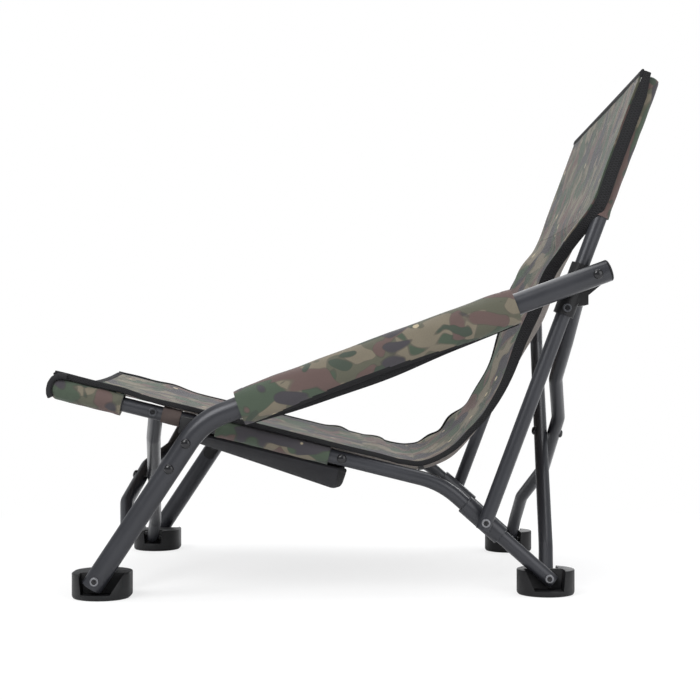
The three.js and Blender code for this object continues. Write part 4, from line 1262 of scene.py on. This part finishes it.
# The three sheets of the sling, with their covers, bindings and seam tapes
def sling(covers):
    seat, seat_trim, seat_points = panel(
        "seat", 0, SEAM_ROW, 100, "seat_rail_left", SEAT_FOLD, ("left", "right", "front"), SEAT_EDGING,
        (0.9, 3.0, 0.0, 0.6), (0, 0, 0),
    )
    waist, waist_trim, waist_points = panel(
        "waist", SEAM_ROW, BACK_SEAM_ROW, 120, "back_pole_left", BACK_FOLD, ("left", "right"), WAIST_EDGING,
        (1.4, 3.2, -2.0, 2.1), (0.47, 0, 0),
    )
    back, back_trim, back_points = panel(
        "back", BACK_SEAM_ROW, TOP_ROW, 70, "back_pole_left", BACK_FOLD, ("left", "right", "back"),
        BACK_EDGING, (0.9, 0.0, 0.0, 3.4), (0.9, 0, 0),
    )
    pockets, tunnels = [list(pieces) for pieces in zip(*covers)]
    seat_trim += pockets + [seam_tape("seat_seam_tape", SEAM_ROW, "seat_rail_left", SEAT_FOLD)]
    waist_trim += [seam_tape("waist_seam_tape", BACK_SEAM_ROW, "back_pole_left", BACK_FOLD)]
    stretched(seat, seat_points, RAILS, seat_trim)
    stretched(waist, waist_points, [seat.name, back.name], waist_trim)
    stretched(back, back_points, tunnels, back_trim + tunnels)


def under_band():
    points = grid_of(70, 60, band_spot)
    band = cloth_sheet("under_band_cloth", points, CLOTH, BAND)
    fold_with(band, "seat_rail_left", SEAT_FOLD, "under_seat_band")
    hems = border_bindings("under_band", points, ("front", "back"))
    for hem in hems:
        fold_with(hem, "seat_rail_left", SEAT_FOLD)
    stretched(band, points, RAILS, hems)


# A pale floor that turns to plain white away from the chair, for the camera alone
def pale_floor():
    size = 12.0
    mesh = bpy.data.meshes.new("ground")
    corners = [(-size, -size, 0), (size, -size, 0), (size, size, 0), (-size, size, 0)]
    mesh.from_pydata(corners, [], [(0, 1, 2, 3)])
    ground = new_object("ground", mesh)
    nodes = material_nodes("pale_ground")
    seen = nodes.add("LightPath").outputs["Is Camera Ray"]
    matt = nodes.add("BsdfDiffuse", {"Color": (0.9, 0.9, 0.9, 1)}).outputs[0]
    white = nodes.add("Emission", {"Color": (1, 1, 1, 1), "Strength": 1.0}).outputs[0]
    away = nodes.add("VectorMath", {0: nodes.here()}, operation="LENGTH").outputs["Value"]
    share = nodes.math("MULTIPLY", seen, nodes.ramp(away, 0.4, 1.1, 0.72, 1.0))
    mesh.materials.append(nodes.output(nodes.add("MixShader", {0: share, 1: matt, 2: white})))


# A soft cool sky that the camera sees as white
def studio_sky():
    world = bpy.data.worlds.new("studio")
    bpy.context.scene.world = world
    nodes = Nodes(world)
    rays = nodes.add("LightPath").outputs
    seen = nodes.math("MAXIMUM", rays["Is Camera Ray"], rays["Is Transmission Ray"])
    cool = nodes.add("Background", {0: (0.95, 0.97, 1, 1), 1: 0.55}).outputs[0]
    white = nodes.add("Background", {0: (1, 1, 1, 1), 1: 1}).outputs[0]
    nodes.output(nodes.add("MixShader", {0: seen, 1: cool, 2: white}), "OutputWorld")


# Square lamps aimed at the seat: name, place in metres, width and power
LAMPS = [
    ("key", (-1.3, -1.9, 2.1), 1.6, 62),
    ("fill", (1.6, -1.7, 1.1), 1.8, 26),
    ("top", (0.1, 0.5, 2.4), 2.2, 46),
    ("rim", (0.6, 2.2, 1.3), 1.8, 24),
]
LAMP_TARGET = (0, 0, 0.3)


def studio_lamps():
    for name, location, width, power in LAMPS:
        data = bpy.data.lights.new(name, "AREA")
        data.size = width
        data.energy = power
        lamp = new_object(name, data)
        lamp.location = location
        aim = Vector(LAMP_TARGET) - Vector(location)
        lamp.rotation_euler = aim.to_track_quat("-Z", "Y").to_euler()


def build():
    add_camera()
    sides = (("left", -1), ("right", 1))
    for side, way in sides:
        steel_side(side, way)
        bolts_side(side, way)
        foot(
            side, way, "front", FRONT_FOOT, FRONT_BRACE_TOP, shift=FRONT_FOOT_SHIFT, offset=268.1, spread=7.9,
            tube_face=LEG_Y - LEG, brace_y=FRONT_BRACE_Y, pocket=(18.6, 18.6, 22, 36),
        )
        foot(
            side, way, "rear", REAR_FOOT, REAR_BRACE_TOP, shift=-2.5, offset=241, spread=0,
            tube_face=RAIL_Y - TUBE, brace_y=REAR_BRACE_Y, pocket=(20, 17, 32, 20),
        )
        guide(side, way)
        saddle(side, way)
        arm_pad(side, way)
    brace_piece(*FRONT_BRACE, "left", -CRANK, "front_brace_cranked", -1)
    brace_piece(*FRONT_BRACE, "right", 0, "front_brace_plain", 0)
    brace_piece(*REAR_BRACE, "left", 0, "rear_brace_plain", 1)
    brace_piece(*REAR_BRACE, "right", CRANK, "rear_brace_cranked", 0)
    sling([cloth_side(side, way) for side, way in sides])
    under_band()
    pale_floor()
    studio_sky()
    studio_lamps()


build()
bpy.context.scene.view_settings.view_transform = "Standard"
